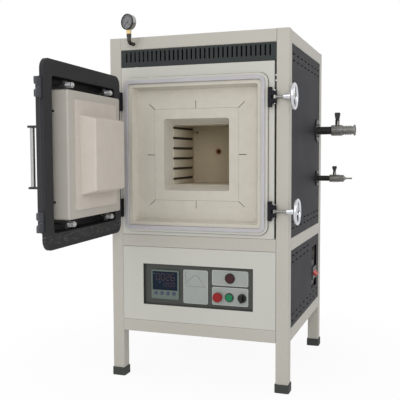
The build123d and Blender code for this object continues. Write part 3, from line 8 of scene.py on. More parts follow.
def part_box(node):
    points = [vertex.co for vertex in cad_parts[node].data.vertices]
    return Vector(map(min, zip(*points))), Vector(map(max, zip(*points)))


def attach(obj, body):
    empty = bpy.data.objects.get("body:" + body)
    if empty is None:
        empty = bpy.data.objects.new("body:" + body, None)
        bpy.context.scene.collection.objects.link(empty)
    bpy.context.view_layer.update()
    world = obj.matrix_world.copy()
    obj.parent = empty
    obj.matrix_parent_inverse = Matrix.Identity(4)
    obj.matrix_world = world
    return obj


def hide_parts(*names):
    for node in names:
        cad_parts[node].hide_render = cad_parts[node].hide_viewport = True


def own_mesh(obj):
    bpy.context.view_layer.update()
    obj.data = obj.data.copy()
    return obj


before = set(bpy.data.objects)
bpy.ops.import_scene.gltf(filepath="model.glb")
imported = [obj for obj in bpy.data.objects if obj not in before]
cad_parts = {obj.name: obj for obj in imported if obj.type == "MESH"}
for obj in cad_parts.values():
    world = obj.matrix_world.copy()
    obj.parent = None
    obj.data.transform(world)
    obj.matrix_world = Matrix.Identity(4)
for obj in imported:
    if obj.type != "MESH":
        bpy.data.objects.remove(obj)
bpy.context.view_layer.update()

# ----------------------------------------------------------------------------- studio
# A viewpoint a little to the right of the furnace, level with its door and looking
# slightly down. The floor is a pale seamless sheet that runs out to plain white, and
# four soft lamps and an even sky light the furnace.
view_place = Vector((0.724094, -2.325872, 0.742888))
view_yaw = radians(19.34482)
view_pitch = radians(3.815198)
view_roll = radians(-0.206284)
focal_pixels = 673.926657
picture_pixels = 400
film_width = 36
ahead = Vector((
    -sin(view_yaw) * cos(view_pitch),
    cos(view_yaw) * cos(view_pitch),
    -sin(view_pitch),
))
level = Vector((cos(view_yaw), sin(view_yaw), 0))
upward = level.cross(ahead)
across = cos(view_roll) * level + sin(view_roll) * upward
upward = across.cross(ahead)
viewer = bpy.data.cameras.new("viewer")
viewer.lens = focal_pixels / picture_pixels * film_width
viewer.clip_end = 60
viewer_object = bpy.data.objects.new("viewer", viewer)
bpy.context.scene.collection.objects.link(viewer_object)
stance = Matrix((across, upward, -ahead)).transposed()
viewer_object.matrix_world = Matrix.Translation(view_place) @ stance.to_4x4()
bpy.context.scene.camera = viewer_object
bpy.context.scene.view_settings.view_transform = "Standard"


class Value:
    """A shader value. Arithmetic on it adds Math nodes, and node() adds any other node."""

    def __init__(self, tree, socket=None):
        self.tree = tree
        self.socket = socket

    def node(self, kind, settings=None, sockets=None, output=0):
        """Adds a node: its settings first, then what its named or numbered inputs get."""
        made = self.tree.nodes.new(kind)
        for key, setting in (settings or {}).items():
            setattr(made, key, setting)
        for key, given in (sockets or {}).items():
            if isinstance(given, Value):
                self.tree.links.new(given.socket, made.inputs[key])
            else:
                made.inputs[key].default_value = given
        return Value(self.tree, made.outputs[output])

    def math(self, operation, *others):
        """Math node on this value and the others, in that order."""
        given = {i: other for i, other in enumerate((self, *others))}
        return self.node("ShaderNodeMath", {"operation": operation}, given)

    def __add__(self, other):
        return self.math("ADD", other)

    def __radd__(self, other):
        return self.math("ADD", other)

    def __sub__(self, other):
        return self.math("SUBTRACT", other)

    def __rsub__(self, other):
        return self.node("ShaderNodeMath", {"operation": "SUBTRACT"}, {0: other, 1: self})

    def __mul__(self, other):
        return self.math("MULTIPLY", other)

    def __rmul__(self, other):
        return self.math("MULTIPLY", other)

    def size(self):
        """The value without its sign."""
        return self.math("ABSOLUTE")

    def clamp(self):
        """The value held between 0 and 1."""
        return self.math("MAXIMUM", 0.0).math("MINIMUM", 1.0)

    def ramp(self, start, end):
        """Goes smoothly from 0 where the value is start to 1 where it is end."""
        given = {0: self, 1: start, 2: end, 3: 0.0, 4: 1.0}
        return self.node("ShaderNodeMapRange", {"interpolation_type": "SMOOTHSTEP"}, given)

    def noise(self, scale, detail=2.0, rough=0.5, stretch=(1, 1, 1)):
        """Cloudy noise from 0 to 1 on the piece's own coordinates, scale lumps to the metre."""
        place = self.node("ShaderNodeTexCoord", output=3)
        wide = self.node("ShaderNodeMapping", sockets={"Vector": place, "Scale": stretch})
        given = {"Vector": wide, "Scale": scale, "Detail": detail, "Roughness": rough}
        return self.node("ShaderNodeTexNoise", sockets=given)

    def place(self):
        """The X, Y and Z of the piece's own coordinates."""
        spot = self.node("ShaderNodeTexCoord", output=3)
        split = self.node("ShaderNodeSeparateXYZ", sockets={0: spot})
        outs = split.socket.node.outputs
        return [Value(self.tree, outs[i]) for i in range(3)]

    def looked_at(self):
        """1 for a ray from the camera, off a mirror or through glass, 0 for one that lights."""
        paths = self.node("ShaderNodeLightPath").socket.node.outputs
        camera = Value(self.tree, paths["Is Camera Ray"])
        glossy = Value(self.tree, paths["Is Glossy Ray"])
        through = Value(self.tree, paths["Is Transmission Ray"])
        return (camera + glossy + through).clamp()

    def blend(self, first, second):
        """Colour that goes from the first to the second as this value goes from 0 to 1."""
        given = {0: self, 6: (*first, 1) if isinstance(first, tuple) else first}
        given[7] = (*second, 1) if isinstance(second, tuple) else second
        return self.node("ShaderNodeMix", {"data_type": "RGBA"}, given, output=2)


def finish_called(name):
    """New material: the material, a bare value to build on, and its shader's inputs."""
    material = bpy.data.materials.new(name)
    material.use_nodes = True
    shader = material.node_tree.nodes["Principled BSDF"]
    return material, Value(material.node_tree), shader.inputs


def feed(inputs, name, value):
    """Sets a shader input to a value or links it to one."""
    if isinstance(value, Value):
        value.tree.links.new(value.socket, inputs[name])
    else:
        inputs[name].default_value = value


white = (1, 1, 1, 1)
floor_reach = 14.0
floor_near, floor_fade = 0.92, (0.3, 1.1)
floor_mesh = bpy.data.meshes.new("studio_floor")
floor_corners = [(-floor_reach, -floor_reach, 0), (floor_reach, -floor_reach, 0)]
floor_corners += [(floor_reach, floor_reach, 0), (-floor_reach, floor_reach, 0)]
floor_mesh.from_pydata(floor_corners, [], [(0, 1, 2, 3)])
studio_floor = bpy.data.objects.new("studio_floor", floor_mesh)
bpy.context.scene.collection.objects.link(studio_floor)
floor_finish, net, shader = finish_called("seamless_floor")
x, y, _ = net.place()
plain = floor_near + (1 - floor_near) * (x * x + y * y).math("SQRT").ramp(*floor_fade)
feed(shader, "Base Color", (0.93, 0.93, 0.93, 1))
feed(shader, "Roughness", 0.9)
feed(shader, "Specular IOR Level", 0.0)
floor_nodes = floor_finish.node_tree.nodes
shaded_floor = Value(floor_finish.node_tree, floor_nodes["Principled BSDF"].outputs[0])
plain_floor = net.node("ShaderNodeEmission", sockets={"Color": white, "Strength": 1.0})
floor_mix = {0: plain * net.looked_at(), 1: shaded_floor, 2: plain_floor}
floor_look = net.node("ShaderNodeMixShader", sockets=floor_mix)
floor_end = floor_nodes["Material Output"].inputs["Surface"]
floor_finish.node_tree.links.new(floor_look.socket, floor_end)
floor_mesh.materials.append(floor_finish)

sky_lighting = 0.60
sky = bpy.data.worlds.new("studio_sky")
sky.use_nodes = True
bpy.context.scene.world = sky
net = Value(sky.node_tree)
sky_level = sky_lighting + (1 - sky_lighting) * net.looked_at()
sky_light = net.node("ShaderNodeBackground", sockets={"Color": white, "Strength": sky_level})
sky_end = sky.node_tree.nodes["World Output"].inputs["Surface"]
sky.node_tree.links.new(sky_light.socket, sky_end)


def lamp(name, place, aim, size, watts, colour):
    """Square soft lamp at a place, turned to face another."""
    light = bpy.data.lights.new(name, "AREA")
    light.color = colour
    light.size = size
    light.energy = watts
    holder = bpy.data.objects.new(name, light)
    bpy.context.scene.collection.objects.link(holder)
    holder.location = place
    facing = Vector(aim) - Vector(place)
    holder.rotation_euler = facing.to_track_quat("-Z", "Y").to_euler()


lamp("front_lamp", (-0.9, -2.9, 2.8), (0, 0, 0.7), 2.2, 22, (0.97, 0.985, 1.0))
lamp("low_lamp", (-1.3, -2.4, 0.45), (-0.1, -0.3, 0.4), 0.9, 2.5, (1.0, 0.995, 0.985))
lamp("mouth_lamp", (1.0, -2.9, 1.5), (-0.1, 0, 0.75), 1.0, 17, (1.0, 0.985, 0.965))
lamp("right_lamp", (3.2, -1.0, 2.2), (0, 0, 0.7), 1.8, 14, (1.0, 0.985, 0.96))

# ------------------------------------------------------------------ square-tube frame
# Posts and rails of 40 mm square steel tube, welded and ground, then powder coated
# together in a warm light grey with a fine orange-peel skin. Low down the coat is
# lightly scuffed.
frame_grey = (0.47, 0.45, 0.402)


def raised(inputs, height, depth):
    """Bump from a height between 0 and 1, depth metres from bottom to top."""
    given = {"Height": height, "Distance": depth, "Strength": 1.0}
    feed(inputs, "Normal", height.node("ShaderNodeBump", sockets=given))


def coat_nodes(material, *nodes):
    """Gives the named CAD pieces a material in place of their plain one."""
    for name in nodes:
        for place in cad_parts[name].material_slots:
            place.material = material


def shade(colour, factor):
    """The colour with each channel multiplied by a factor."""
    return tuple(factor * channel for channel in colour)


frame_coat, net, shader = finish_called("frame_powder_coat")
peel = net.noise(900, 3)
cloud = net.noise(5, 3)
low_down = 1.0 - net.place()[2].ramp(0.0, 0.5)
scuffs = net.noise(60, 6, 0.7).ramp(0.62, 0.75) * low_down * 0.25
tone = cloud.blend(shade(frame_grey, 0.95), shade(frame_grey, 1.05))
feed(shader, "Base Color", scuffs.blend(tone, (0.30, 0.29, 0.27)))
feed(shader, "Roughness", 0.42 + cloud * 0.12)
raised(shader, peel, 0.00012)
coat_nodes(frame_coat, "frame_posts", "frame_rails")

# ------------------------------------------------------------------------ rubber feet
# Moulded black rubber cups pushed over the posts' lower ends. They hold a little pale
# dust in their grained skin.
rubber, net, shader = finish_called("foot_rubber")
dust = net.noise(140, 4, 0.6)
dusty = (dust * 0.8).blend((0.018, 0.022, 0.02), (0.06, 0.065, 0.06))
feed(shader, "Base Color", dusty)
feed(shader, "Roughness", 0.62 + dust * 0.25)
raised(shader, net.noise(1500, 2), 0.0001)
coat_nodes(rubber, "rubber_feet")

# ---------------------------------------------------------- side, rear and top covers
# Folded steel covers between the posts, pressed with rows of short louvre slots. The
# hinge halves and the clamp brackets are welded plate. All have the same finely
# textured charcoal powder coat.
charcoal = (0.013, 0.013, 0.017)
dark_coat, net, shader = finish_called("charcoal_powder_coat")
grain = net.noise(1300, 3)
cloud = net.noise(7, 4)
feed(shader, "Base Color", cloud.blend(shade(charcoal, 0.85), shade(charcoal, 1.2)))
feed(shader, "Roughness", 0.48 + cloud * 0.12 + grain * 0.06)
feed(shader, "Specular IOR Level", 0.12)
raised(shader, grain, 0.0002)
coat_nodes(dark_coat, "side_panels", "cabinet_covers")
coat_nodes(dark_coat, "hinge_brackets", "door_hinge_leaves", "clamp_brackets")

# ------------------------------------------------------------------ inner sheet metal
# Folded decks with support skids inside the cabinet, and the furnace's welded shell.
# They are galvanised sheet, left bare, with the zinc's spangle.
zinc, net, shader = finish_called("galvanised_sheet")
spangle = net.node("ShaderNodeTexVoronoi", sockets={"Scale": 90.0})
streak = net.noise(40, 4, 0.6, (1, 1, 8))
feed(shader, "Base Color", streak.blend((0.42, 0.43, 0.44), (0.56, 0.57, 0.58)))
feed(shader, "Metallic", 0.85)
feed(shader, "Roughness", 0.38 + spangle * 0.25)
coat_nodes(zinc, "inner_decks", "furnace_shell")

# ------------------------------------------------------------------------ vent grille
# Steel strip over the furnace mouth that lets the cabinet's warm air out. Its rows of
# slots are laser cut, and it is powder coated dark grey.
grille_coat, net, shader = finish_called("grille_powder_coat")
grain = net.noise(1200, 3)
cloud = net.noise(9, 3)
feed(shader, "Base Color", cloud.blend((0.026, 0.031, 0.031), (0.036, 0.041, 0.041)))
feed(shader, "Roughness", 0.5 + grain * 0.15)
feed(shader, "Specular IOR Level", 0.2)
raised(shader, grain, 0.0002)
coat_nodes(grille_coat, "vent_grille")

# ------------------------------------------------ front panels and the mouth's flange
# Folded light grey panels round the furnace mouth and the controls, and the thick
# welded flange that the door closes on. All have a smooth powder coat.
panel_grey = (0.535, 0.53, 0.485)
panel_coat, net, shader = finish_called("panel_powder_coat")
cloud = net.noise(4, 3)
peel = net.noise(700, 2)
feed(shader, "Base Color", cloud.blend(shade(panel_grey, 0.96), shade(panel_grey, 1.03)))
feed(shader, "Roughness", 0.36 + cloud * 0.1)
raised(shader, peel, 0.00008)
coat_nodes(panel_coat, "front_panels", "furnace_flange")

# -------------------------------------------------------------------------- door seal
# Square-section silicone cord pressed into the flange's groove. It is off-white with a
# lavender cast, and a little dull where it has been handled.
seal, net, shader = finish_called("silicone_seal")
handled = net.noise(18, 5, 0.6)
feed(shader, "Base Color", handled.blend((0.42, 0.405, 0.43), (0.52, 0.505, 0.53)))
feed(shader, "Roughness", 0.38 + handled * 0.2)
feed(shader, "Subsurface Weight", 0.08)
raised(shader, net.noise(300, 3), 0.0002)
coat_nodes(seal, "door_gasket")

# ------------------------------------------------------------------- refractory mouth
# Vacuum-formed ceramic fibre blocks: the collar inside the flange with its expansion
# slits, the throat block set in its window, and the hidden back-up insulation.
fibre, net, shader = finish_called("ceramic_fibre")
wad = net.noise(30, 6, 0.6)
hair = net.noise(900, 6, 0.7, (1, 1, 0.35))
pits = net.noise(260, 3, 0.6)
pitted = pits.ramp(0.66, 0.78) * 0.35
tone = wad.blend((0.54, 0.51, 0.44), (0.64, 0.61, 0.54))
feed(shader, "Base Color", pitted.blend(tone, (0.46, 0.42, 0.34)))
feed(shader, "Roughness", 0.95)
feed(shader, "Specular IOR Level", 0.15)
raised(shader, hair * 0.5 + pits * 0.5, 0.0006)
coat_nodes(fibre, "collar_block", "throat_block", "insulation_pack")

# ---------------------------------------------------------------------- fired chamber
# Ceramic fibre boards that line the heating chamber, stacked without mortar. Their colour
# is painted darker and browner towards the back wall, as painted shade deep in the chamber.
shaded_depth = (-0.23, 0.0)
fired, net, shader = finish_called("fired_lining")
deep_shade = net.place()[1].ramp(*shaded_depth)
wad = net.noise(22, 6, 0.6)
tone = wad.blend((0.66, 0.61, 0.50), (0.76, 0.71, 0.60))
# Painted shade: the boards darken and turn browner with depth into the chamber.
feed(shader, "Base Color", (deep_shade * 0.85).blend(tone, (0.44, 0.37, 0.25)))
feed(shader, "Roughness", 0.95)
feed(shader, "Specular IOR Level", 0.1)
raised(shader, net.noise(700, 6, 0.7), 0.0006)
coat_nodes(fired, "chamber_lining")

# ------------------------------------------------------------------- heating elements
# Straight resistance rods that lie in the grooves of the chamber's side walls. Their
# iron-chromium alloy is black-brown with oxide.
oxide, net, shader = finish_called("element_oxide")
scale = net.noise(400, 4)
feed(shader, "Base Color", scale.blend((0.035, 0.028, 0.022), (0.09, 0.07, 0.055)))
feed(shader, "Roughness", 0.7)
raised(shader, scale, 0.0003)
coat_nodes(oxide, "heating_elements")

# -------------------------------------------------------------------- back wall tubes
# Extruded mullite gas duct and thermocouple sheath, pushed through holes in the back
# wall. Firing has turned them tan.
mullite, net, shader = finish_called("mullite_tube")
glow = net.noise(120, 4)
feed(shader, "Base Color", glow.blend((0.32, 0.16, 0.07), (0.46, 0.27, 0.13)))
feed(shader, "Roughness", 0.6)
coat_nodes(mullite, "back_wall_tubes")

# ------------------------------------------------------- pins, clamp nuts, handwheels
# Turned steel pins of the hinges and clamps, the threaded hubs that run along the clamp
# bolts, and the cast handwheels on them. All are plated bright, with fine machining
# marks and a little tarnish.
plated, net, shader = finish_called("plated_steel")
tarnish = net.noise(90, 5, 0.6)
marks = net.noise(1100, 2, 0.5, (6, 1, 1))
feed(shader, "Base Color", tarnish.blend((0.46, 0.47, 0.49), (0.74, 0.75, 0.78)))
feed(shader, "Metallic", 1.0)
feed(shader, "Roughness", 0.12 + tarnish * 0.16)
raised(shader, marks, 0.00006)
coat_nodes(plated, "pivot_pins", "clamp_nut_upper", "clamp_nut_lower")
coat_nodes(plated, "handwheel_upper", "handwheel_lower")

# ------------------------------------------------------------------------ clamp bolts
# Swing bolts with an eye at one end, turned from bare steel and held in their brackets
# by a pin. A film of oil darkens them.
bolt_steel, net, shader = finish_called("bolt_steel")
oil = net.noise(120, 4, 0.6)
feed(shader, "Base Color", oil.blend((0.16, 0.155, 0.15), (0.34, 0.33, 0.32)))
feed(shader, "Metallic", 1.0)
feed(shader, "Roughness", 0.2 + oil * 0.15)
coat_nodes(bolt_steel, "clamp_bolt_upper", "clamp_bolt_lower")

# ------------------------------------------------------------------------- door plate
# Thick machined steel plate that hangs on the hinge leaves, in a dark powder coat. A
# band along its lower edge is rubbed and catches the light.
rubbed_bottom, rubbed_top = (0.500, 0.512), (0.530, 0.536)
door_black = ((0.019, 0.019, 0.022), (0.030, 0.030, 0.033))
door_coat, net, shader = finish_called("door_powder_coat")
grain = net.noise(1300, 3)
cloud = net.noise(6, 4)
z = net.place()[2]
lower_edge = (1.0 - z.ramp(*rubbed_top)) * z.ramp(*rubbed_bottom)
scraped = net.noise(45, 6, 0.7, (1, 1, 5)).ramp(0.50, 0.60) * lower_edge
painted = cloud.blend(*door_black)
feed(shader, "Base Color", (scraped * 0.4).blend(painted, (0.15, 0.15, 0.15)))
feed(shader, "Roughness", 0.42 + cloud * 0.14)
feed(shader, "Specular IOR Level", 0.18)
raised(shader, grain, 0.00018)
coat_nodes(door_coat, "door_flange")

# ------------------------------------------------------------------------- door forks
# Milled steel forks with flared mouths that take the clamp bolts. They are screwed to
# the door's free edge and are a little glossier than the door; their colour is painted a lighter
# blue-black than the door's coat, as a painted highlight along their edges.
fork_sheen_coat, net, shader = finish_called("fork_painted_sheen")
sheen_mottle = net.noise(120, 4, 0.6)
# Painted highlight: the forks are coloured lighter and bluer than the door's dark coat.
feed(shader, "Base Color", sheen_mottle.blend((0.030, 0.033, 0.042), (0.060, 0.064, 0.078)))
feed(shader, "Roughness", 0.30 + sheen_mottle * 0.15)
coat_nodes(fork_sheen_coat, "door_forks")

# ----------------------------------------------------------- door cover and its studs
# Pressed steel cover on the door's outer side, in the door plate's coat. The four studs
# that carry the plug, and their nuts, go through it; they are plated and left bright,
# and the shader tells them by the distance from the studs' axes.
hinge_axis = Vector((-0.26, -0.322, 0))
swing = radians(87.5)
door_along = Vector((cos(swing), -sin(swing), 0))
door_out = Vector((-sin(swing), -cos(swing), 0))
stud_reach, stud_aside = 0.2515, 0.125
stud_level, stud_above = 0.744, 0.190
stud_skin, cover_skin = (0.0085, 0.009), (0.0365, 0.037)
cover_coat, net, shader = finish_called("door_cover_coat")
x, y, z = net.place()
x, y = x - hinge_axis.x, y - hinge_axis.y
reach = x * door_along.x + y * door_along.y
out = x * door_out.x + y * door_out.y
from_stud = ((reach - stud_reach).size() - stud_aside).size()
from_level = ((z - stud_level).size() - stud_above).size()
near = (from_stud * from_stud + from_level * from_level).math("SQRT")
bright = (1.0 - near.ramp(*stud_skin)) * (1.0 - out.ramp(*cover_skin))
cloud = net.noise(6, 4)
grain = net.noise(1300, 3)
painted = cloud.blend(*door_black)
feed(shader, "Base Color", bright.blend(painted, (0.72, 0.72, 0.73)))
feed(shader, "Metallic", bright)
feed(shader, "Roughness", 0.46 - bright * 0.22 + cloud * 0.08)
feed(shader, "Specular IOR Level", 0.3)
raised(shader, grain, 0.00018)
coat_nodes(cover_coat, "door_cover")

# ------------------------------------------------------------------------ door handle
# Drawn steel grab bar held between two black cast brackets, which are screwed to the
# cover. The shader tells bar from brackets by the distance from the bar's middle.
bar_middle, bar_end = 0.738, (0.0790, 0.0794)
handle_finish, net, shader = finish_called("bar_and_brackets")
bracket = (net.place()[2] - bar_middle).size().ramp(*bar_end)
drawn = net.noise(900, 3, 0.6, (1, 1, 0.05))
wear = net.noise(40, 5, 0.6)
steel = drawn.blend((0.34, 0.345, 0.34), (0.46, 0.465, 0.46))
feed(shader, "Base Color", bracket.blend(steel, (0.012, 0.012, 0.013)))
feed(shader, "Metallic", 1.0 - bracket)
feed(shader, "Roughness", 0.42 + wear * 0.10)
raised(shader, drawn, 0.00005)
coat_nodes(handle_finish, "door_handle")

# -------------------------------------------------------------------- black mouldings
# Small black plastic parts, injection moulded with a faint grain: the valves' grips,
# the breaker's body, the panel collars, the cable gland and the gauge's needle.
black, net, shader = finish_called("black_moulding")
worn = net.noise(50, 5, 0.6)
feed(shader, "Base Color", worn.blend((0.012, 0.012, 0.013), (0.03, 0.03, 0.031)))
feed(shader, "Roughness", 0.35 + worn * 0.25)
raised(shader, net.noise(1600, 2), 0.00008)
coat_nodes(black, "vacuum_lever", "gas_handle", "breaker_body")
coat_nodes(black, "panel_collars", "cable_gland", "gauge_needle")

# ------------------------------------------------------------------------ plug casing
# Folded sheet casing of the floating plug, stove-enamelled cream and carried on spring
# studs. The lugs that stand past it at the top and bottom are dark.
lug_foot = (0.1752, 0.1756)
casing_coat, net, shader = finish_called("casing_enamel")
cloud = net.noise(8, 4)
lug = (net.place()[2] - stud_level).size().ramp(*lug_foot)
enamel = cloud.blend((0.43, 0.405, 0.36), (0.51, 0.485, 0.44))
feed(shader, "Base Color", lug.blend(enamel, (0.02, 0.02, 0.022)))
feed(shader, "Roughness", 0.5 + cloud * 0.1)
raised(shader, net.noise(500, 3), 0.0001)
coat_nodes(casing_coat, "plug_casing")

# ----------------------------------------------------------------------- tapered plug
# Vacuum-formed ceramic fibre plug that fills the throat when the door is shut, and the
# fibre board behind it in the casing. Both are a little pinker than the throat.
plug_fibre, net, shader = finish_called("plug_fibre")
wad = net.noise(26, 6, 0.6)
feed(shader, "Base Color", wad.blend((0.55, 0.505, 0.455), (0.64, 0.59, 0.535)))
feed(shader, "Roughness", 0.95)
feed(shader, "Specular IOR Level", 0.15)
raised(shader, net.noise(900, 6, 0.7), 0.0005)
coat_nodes(plug_fibre, "plug_block")

# ----------------------------------------------------------------------- plug springs
# Four coil springs of bright steel wire, wound on the studs between the casing's lugs
# and the stud nuts.
spring_start, spring_rise = -0.0099, 0.0172


def piece_from(name, points, faces, material, body, slot, smooth=False):
    """Mesh piece at the origin, riding on a body, with one material."""
    mesh = bpy.data.meshes.new(name)
    mesh.from_pydata(points, [], faces)
    mesh.materials.append(material)
    mesh.polygons.foreach_set("use_smooth", [smooth] * len(mesh.polygons))
    made = bpy.data.objects.new(name, mesh)
    bpy.context.scene.collection.objects.link(made)
    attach(made, body)
    return made


def skin(rings, around, joined=False):
    """Four-sided faces between neighbouring rings of around points each, as numbers of
    points. Joined also ties the last ring to the first."""
    spans = rings if joined else rings - 1
    ring, step = np.meshgrid(np.arange(spans), np.arange(around), indexing="ij")
    here, there = ring * around, (ring + 1) % rings * around
    after = (step + 1) % around
    corners = (here + step, here + after, there + after, there + step)
    return np.stack(corners, -1).reshape(-1, 4)


def capped(rings, around):
    """The skin of a stack of rings, and one face over each end of it."""
    bottom = np.arange(around)
    return [*skin(rings, around), bottom[::-1], bottom + (rings - 1) * around]


def coils(feet, axis, radius, wire, turns, rise, steps=24, around=8):
    """Closed wires on helices: at turn t the middle of the wire lies at the foot, plus
    radius (cos 2 pi t, sin 2 pi t) across the axis, plus rise t / turns along it."""
    side = axis.orthogonal().normalized()
    spread = np.array([side, axis.cross(side), axis])
    turn = np.linspace(0, 2 * pi * turns, turns * steps + 1)[:, None]
    outward = np.concatenate((np.cos(turn), np.sin(turn), 0 * turn), 1)
    line = radius * outward + rise * turn / (2 * pi * turns) * np.array((0, 0, 1))
    run = np.gradient(line, axis=0)
    run /= np.linalg.norm(run, axis=1)[:, None]
    other = np.cross(run, outward)
    bend = np.linspace(0, 2 * pi, around, endpoint=False)[None, :, None]
    round_wire = np.cos(bend) * outward[:, None] + np.sin(bend) * other[:, None]
    coil = (line[:, None] + wire * round_wire).reshape(-1, 3) @ spread
    points, faces = [], []
    for foot in feet:
        faces += [(face + len(points)).tolist() for face in capped(len(turn), around)]
        points += (coil + np.array(foot)).tolist()
    return points, faces


def on_door(reach, out, height):
    """Place reach metres from the hinge axis along the door and out metres off its face."""
    return hinge_axis + reach * door_along + out * door_out + Vector((0, 0, height))


spring_feet = [
    on_door(stud_reach + aside, spring_start, stud_level + above)
    for aside in (stud_aside, -stud_aside)
    for above in (stud_above, -stud_above)
]
spring_mesh = coils(
    spring_feet, -door_out, radius=0.007, wire=0.0009, turns=5, rise=spring_rise)
springs = piece_from(
    "stud_springs", *spring_mesh, plated, "door", "bright_steel", smooth=True)
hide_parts("plug_springs")
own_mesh(springs)

# ---------------------------------------------------------------------- casing screws
# Two round-headed steel screws, blacked by an oxide bath, that close the casing's free
# side. Their domed heads stand on the sheet.
head_profile = [(0.0034, 0.0), (0.0034, 0.0008), (0.0030, 0.0018)]
head_profile += [(0.0020, 0.0024), (0.0008, 0.0027)]
screw_reach, screw_out = 0.422, 0.005
screw_levels = (0.862, 0.617)


def turned(feet, axis, profile, around=24):
    """Closed pieces turned on an axis, one on each foot. Step k of ring i lies at foot +
    height_i axis + radius_i (cos, sin)(2 pi k / around) across the axis, the profile
    being the pairs of radius and height."""
    axis = Vector(axis).normalized()
    side = axis.orthogonal().normalized()
    turn = np.linspace(0, 2 * pi, around, endpoint=False)[:, None]
    spoke = np.cos(turn) * np.array(side) + np.sin(turn) * np.array(axis.cross(side))
    radius, rise = np.array(profile).T[:, :, None, None]
    form = (rise * np.array(axis) + radius * spoke).reshape(-1, 3)
    points, faces = [], []
    for foot in feet:
        faces += [(face + len(points)).tolist() for face in capped(len(profile), around)]
        points += (form + np.array(foot)).tolist()
    return points, faces


blacked, net, shader = finish_called("blacked_screws")
feed(shader, "Base Color", net.noise(400, 2).blend((0.012, 0.012, 0.012), (0.03, 0.03, 0.03)))
feed(shader, "Roughness", 0.4)
feed(shader, "Metallic", 0.6)
screw_feet = [on_door(screw_reach, screw_out, level) for level in screw_levels]
screw_mesh = turned(screw_feet, door_along, head_profile)
piece_from("casing_screws", *screw_mesh, blacked, "plug", "black_plastic", smooth=True)

# --------------------------------------------------------------------- control fascia
# Folded steel tray set back behind the window of the lower front panel, which carries
# the controls. It is enamelled a satin dark green-grey.
fascia_coat, net, shader = finish_called("fascia_enamel")
cloud = net.noise(12, 3)
feed(shader, "Base Color", cloud.blend((0.036, 0.041, 0.034), (0.046, 0.049, 0.042)))
feed(shader, "Roughness", 0.45 + cloud * 0.1)
raised(shader, net.noise(900, 2), 0.0001)
coat_nodes(fascia_coat, "control_fascia")

# ------------------------------------------------------------------ programmer's case
# Square-bezelled temperature programmer, clipped into the fascia from the front. Its
# case is moulded in a matt grey-green plastic.
bezel_finish, net, shader = finish_called("controller_bezel")
cloud = net.noise(60, 3)
feed(shader, "Base Color", cloud.blend((0.09, 0.12, 0.10), (0.12, 0.15, 0.13)))
feed(shader, "Roughness", 0.42)
raised(shader, net.noise(2000, 2), 0.00005)
coat_nodes(bezel_finish, "controller_case")

# --------------------------------------------------------------------- display window
# Smoked acrylic window in front of the programmer's display, snapped into the case. It
# reads as a deep blue-black.
screen_finish, net, shader = finish_called("controller_window")
feed(shader, "Base Color", (0.003, 0.012, 0.026, 1))
feed(shader, "Roughness", 0.2 + net.noise(40, 3) * 0.06)
feed(shader, "Specular IOR Level", 0.12)
coat_nodes(screen_finish, "controller_screen")

# ------------------------------------------------------------------- display's digits
# Two rows of plain seven-segment digits behind the window: the measured temperature
# over the set one. The segments are dull red light pipes in the display's block.
screen_low, screen_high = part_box("controller_screen")
screen_corner = Vector((screen_low[0], screen_low[1], screen_high[2]))
segments_of = {"0": "abcdef", "1": "bc", "2": "abged", "6": "afgcde"}
segment_ends = {
    "a": ((0, 1), (1, 1)), "g": ((0, 0.5), (1, 0.5)), "d": ((0, 0), (1, 0)),
    "b": ((1, 0.5), (1, 1)), "c": ((1, 0), (1, 0.5)),
    "e": ((0, 0), (0, 0.5)), "f": ((0, 0.5), (0, 1)),
}
front_plane = ((1, 0, 0), (0, 0, 1))


def digit_bars(text, left, top, wide, tall, pitch, half, gap=0.35):
    """Outlines of seven-segment digits. A segment is a strip half metres to each side of
    its line, with pointed ends that stop gap times half short of the digit's corners."""
    outlines = []
    for place, digit in enumerate(text):
        corner = np.array((left + place * pitch, top - tall))
        for segment in segments_of[digit]:
            start, end = corner + np.array(segment_ends[segment]) * (wide, tall)
            run = half * (end - start) / np.linalg.norm(end - start)
            aside = np.array((run[1], -run[0]))
            start, end = start + gap * run, end - gap * run
            one_side = [start, start + run + aside, end - run + aside]
            other_side = [end, end - run - aside, start + run - aside]
            outlines.append(np.array(one_side + other_side))
    return outlines


def stamped(outlines, origin, along, up, thick):
    """Flat closed prisms. A point (x, y) of a counter-clockwise outline lies at origin +
    x along + y up, and once more thick metres further towards along cross up."""
    spread = np.array([list(along), list(up)], float)
    rise = thick * np.cross(*spread)
    points, faces = [], []
    for outline in outlines:
        foot = np.array(origin) + np.array(outline) @ spread
        corner = len(points) + np.arange(len(foot))
        after, above = np.roll(corner, -1), len(foot)
        faces += [corner[::-1].tolist(), (corner + above).tolist()]
        sides = np.stack((corner, after, after + above, corner + above), 1)
        faces += sides.tolist()
        points += np.concatenate((foot, foot + rise)).tolist()
    return points, faces


lit, net, shader = finish_called("digit_red")
feed(shader, "Base Color", net.noise(500, 2).blend((0.030, 0.005, 0.008), (0.048, 0.008, 0.011)))
feed(shader, "Roughness", 0.5)
digits = digit_bars(
    "0026", left=0.013, top=-0.008, wide=0.012, tall=0.021, pitch=0.0172, half=0.0011)
digits += digit_bars(
    "1200", left=0.031, top=-0.0365, wide=0.0085, tall=0.013, pitch=0.0128, half=0.0008)
digit_mesh = stamped(digits, screen_corner, *front_plane, 0.00008)
piece_from("screen_digits", *digit_mesh, lit, "cabinet", "lens_red")

# ------------------------------------------------------------------------- pilot dots
# Two small pale indicator lamps in the display, one beside each row of digits. They are
# domed epoxy lenses, unlit.
dot, net, shader = finish_called("pilot_dots")
feed(shader, "Base Color", net.noise(500, 2).blend((0.12, 0.2, 0.26), (0.2, 0.3, 0.36)))
feed(shader, "Roughness", 0.4)
dot_feet = [screen_corner + Vector(i) for i in ((0.0056, 0, -0.008), (0.0256, 0, -0.036))]
dot_profile = [(0.0012, 0.0), (0.0012, 0.0001), (0.0008, 0.0002)]
dot_mesh = turned(dot_feet, (0, -1, 0), dot_profile)
piece_from("screen_dots", *dot_mesh, dot, "cabinet", "card")

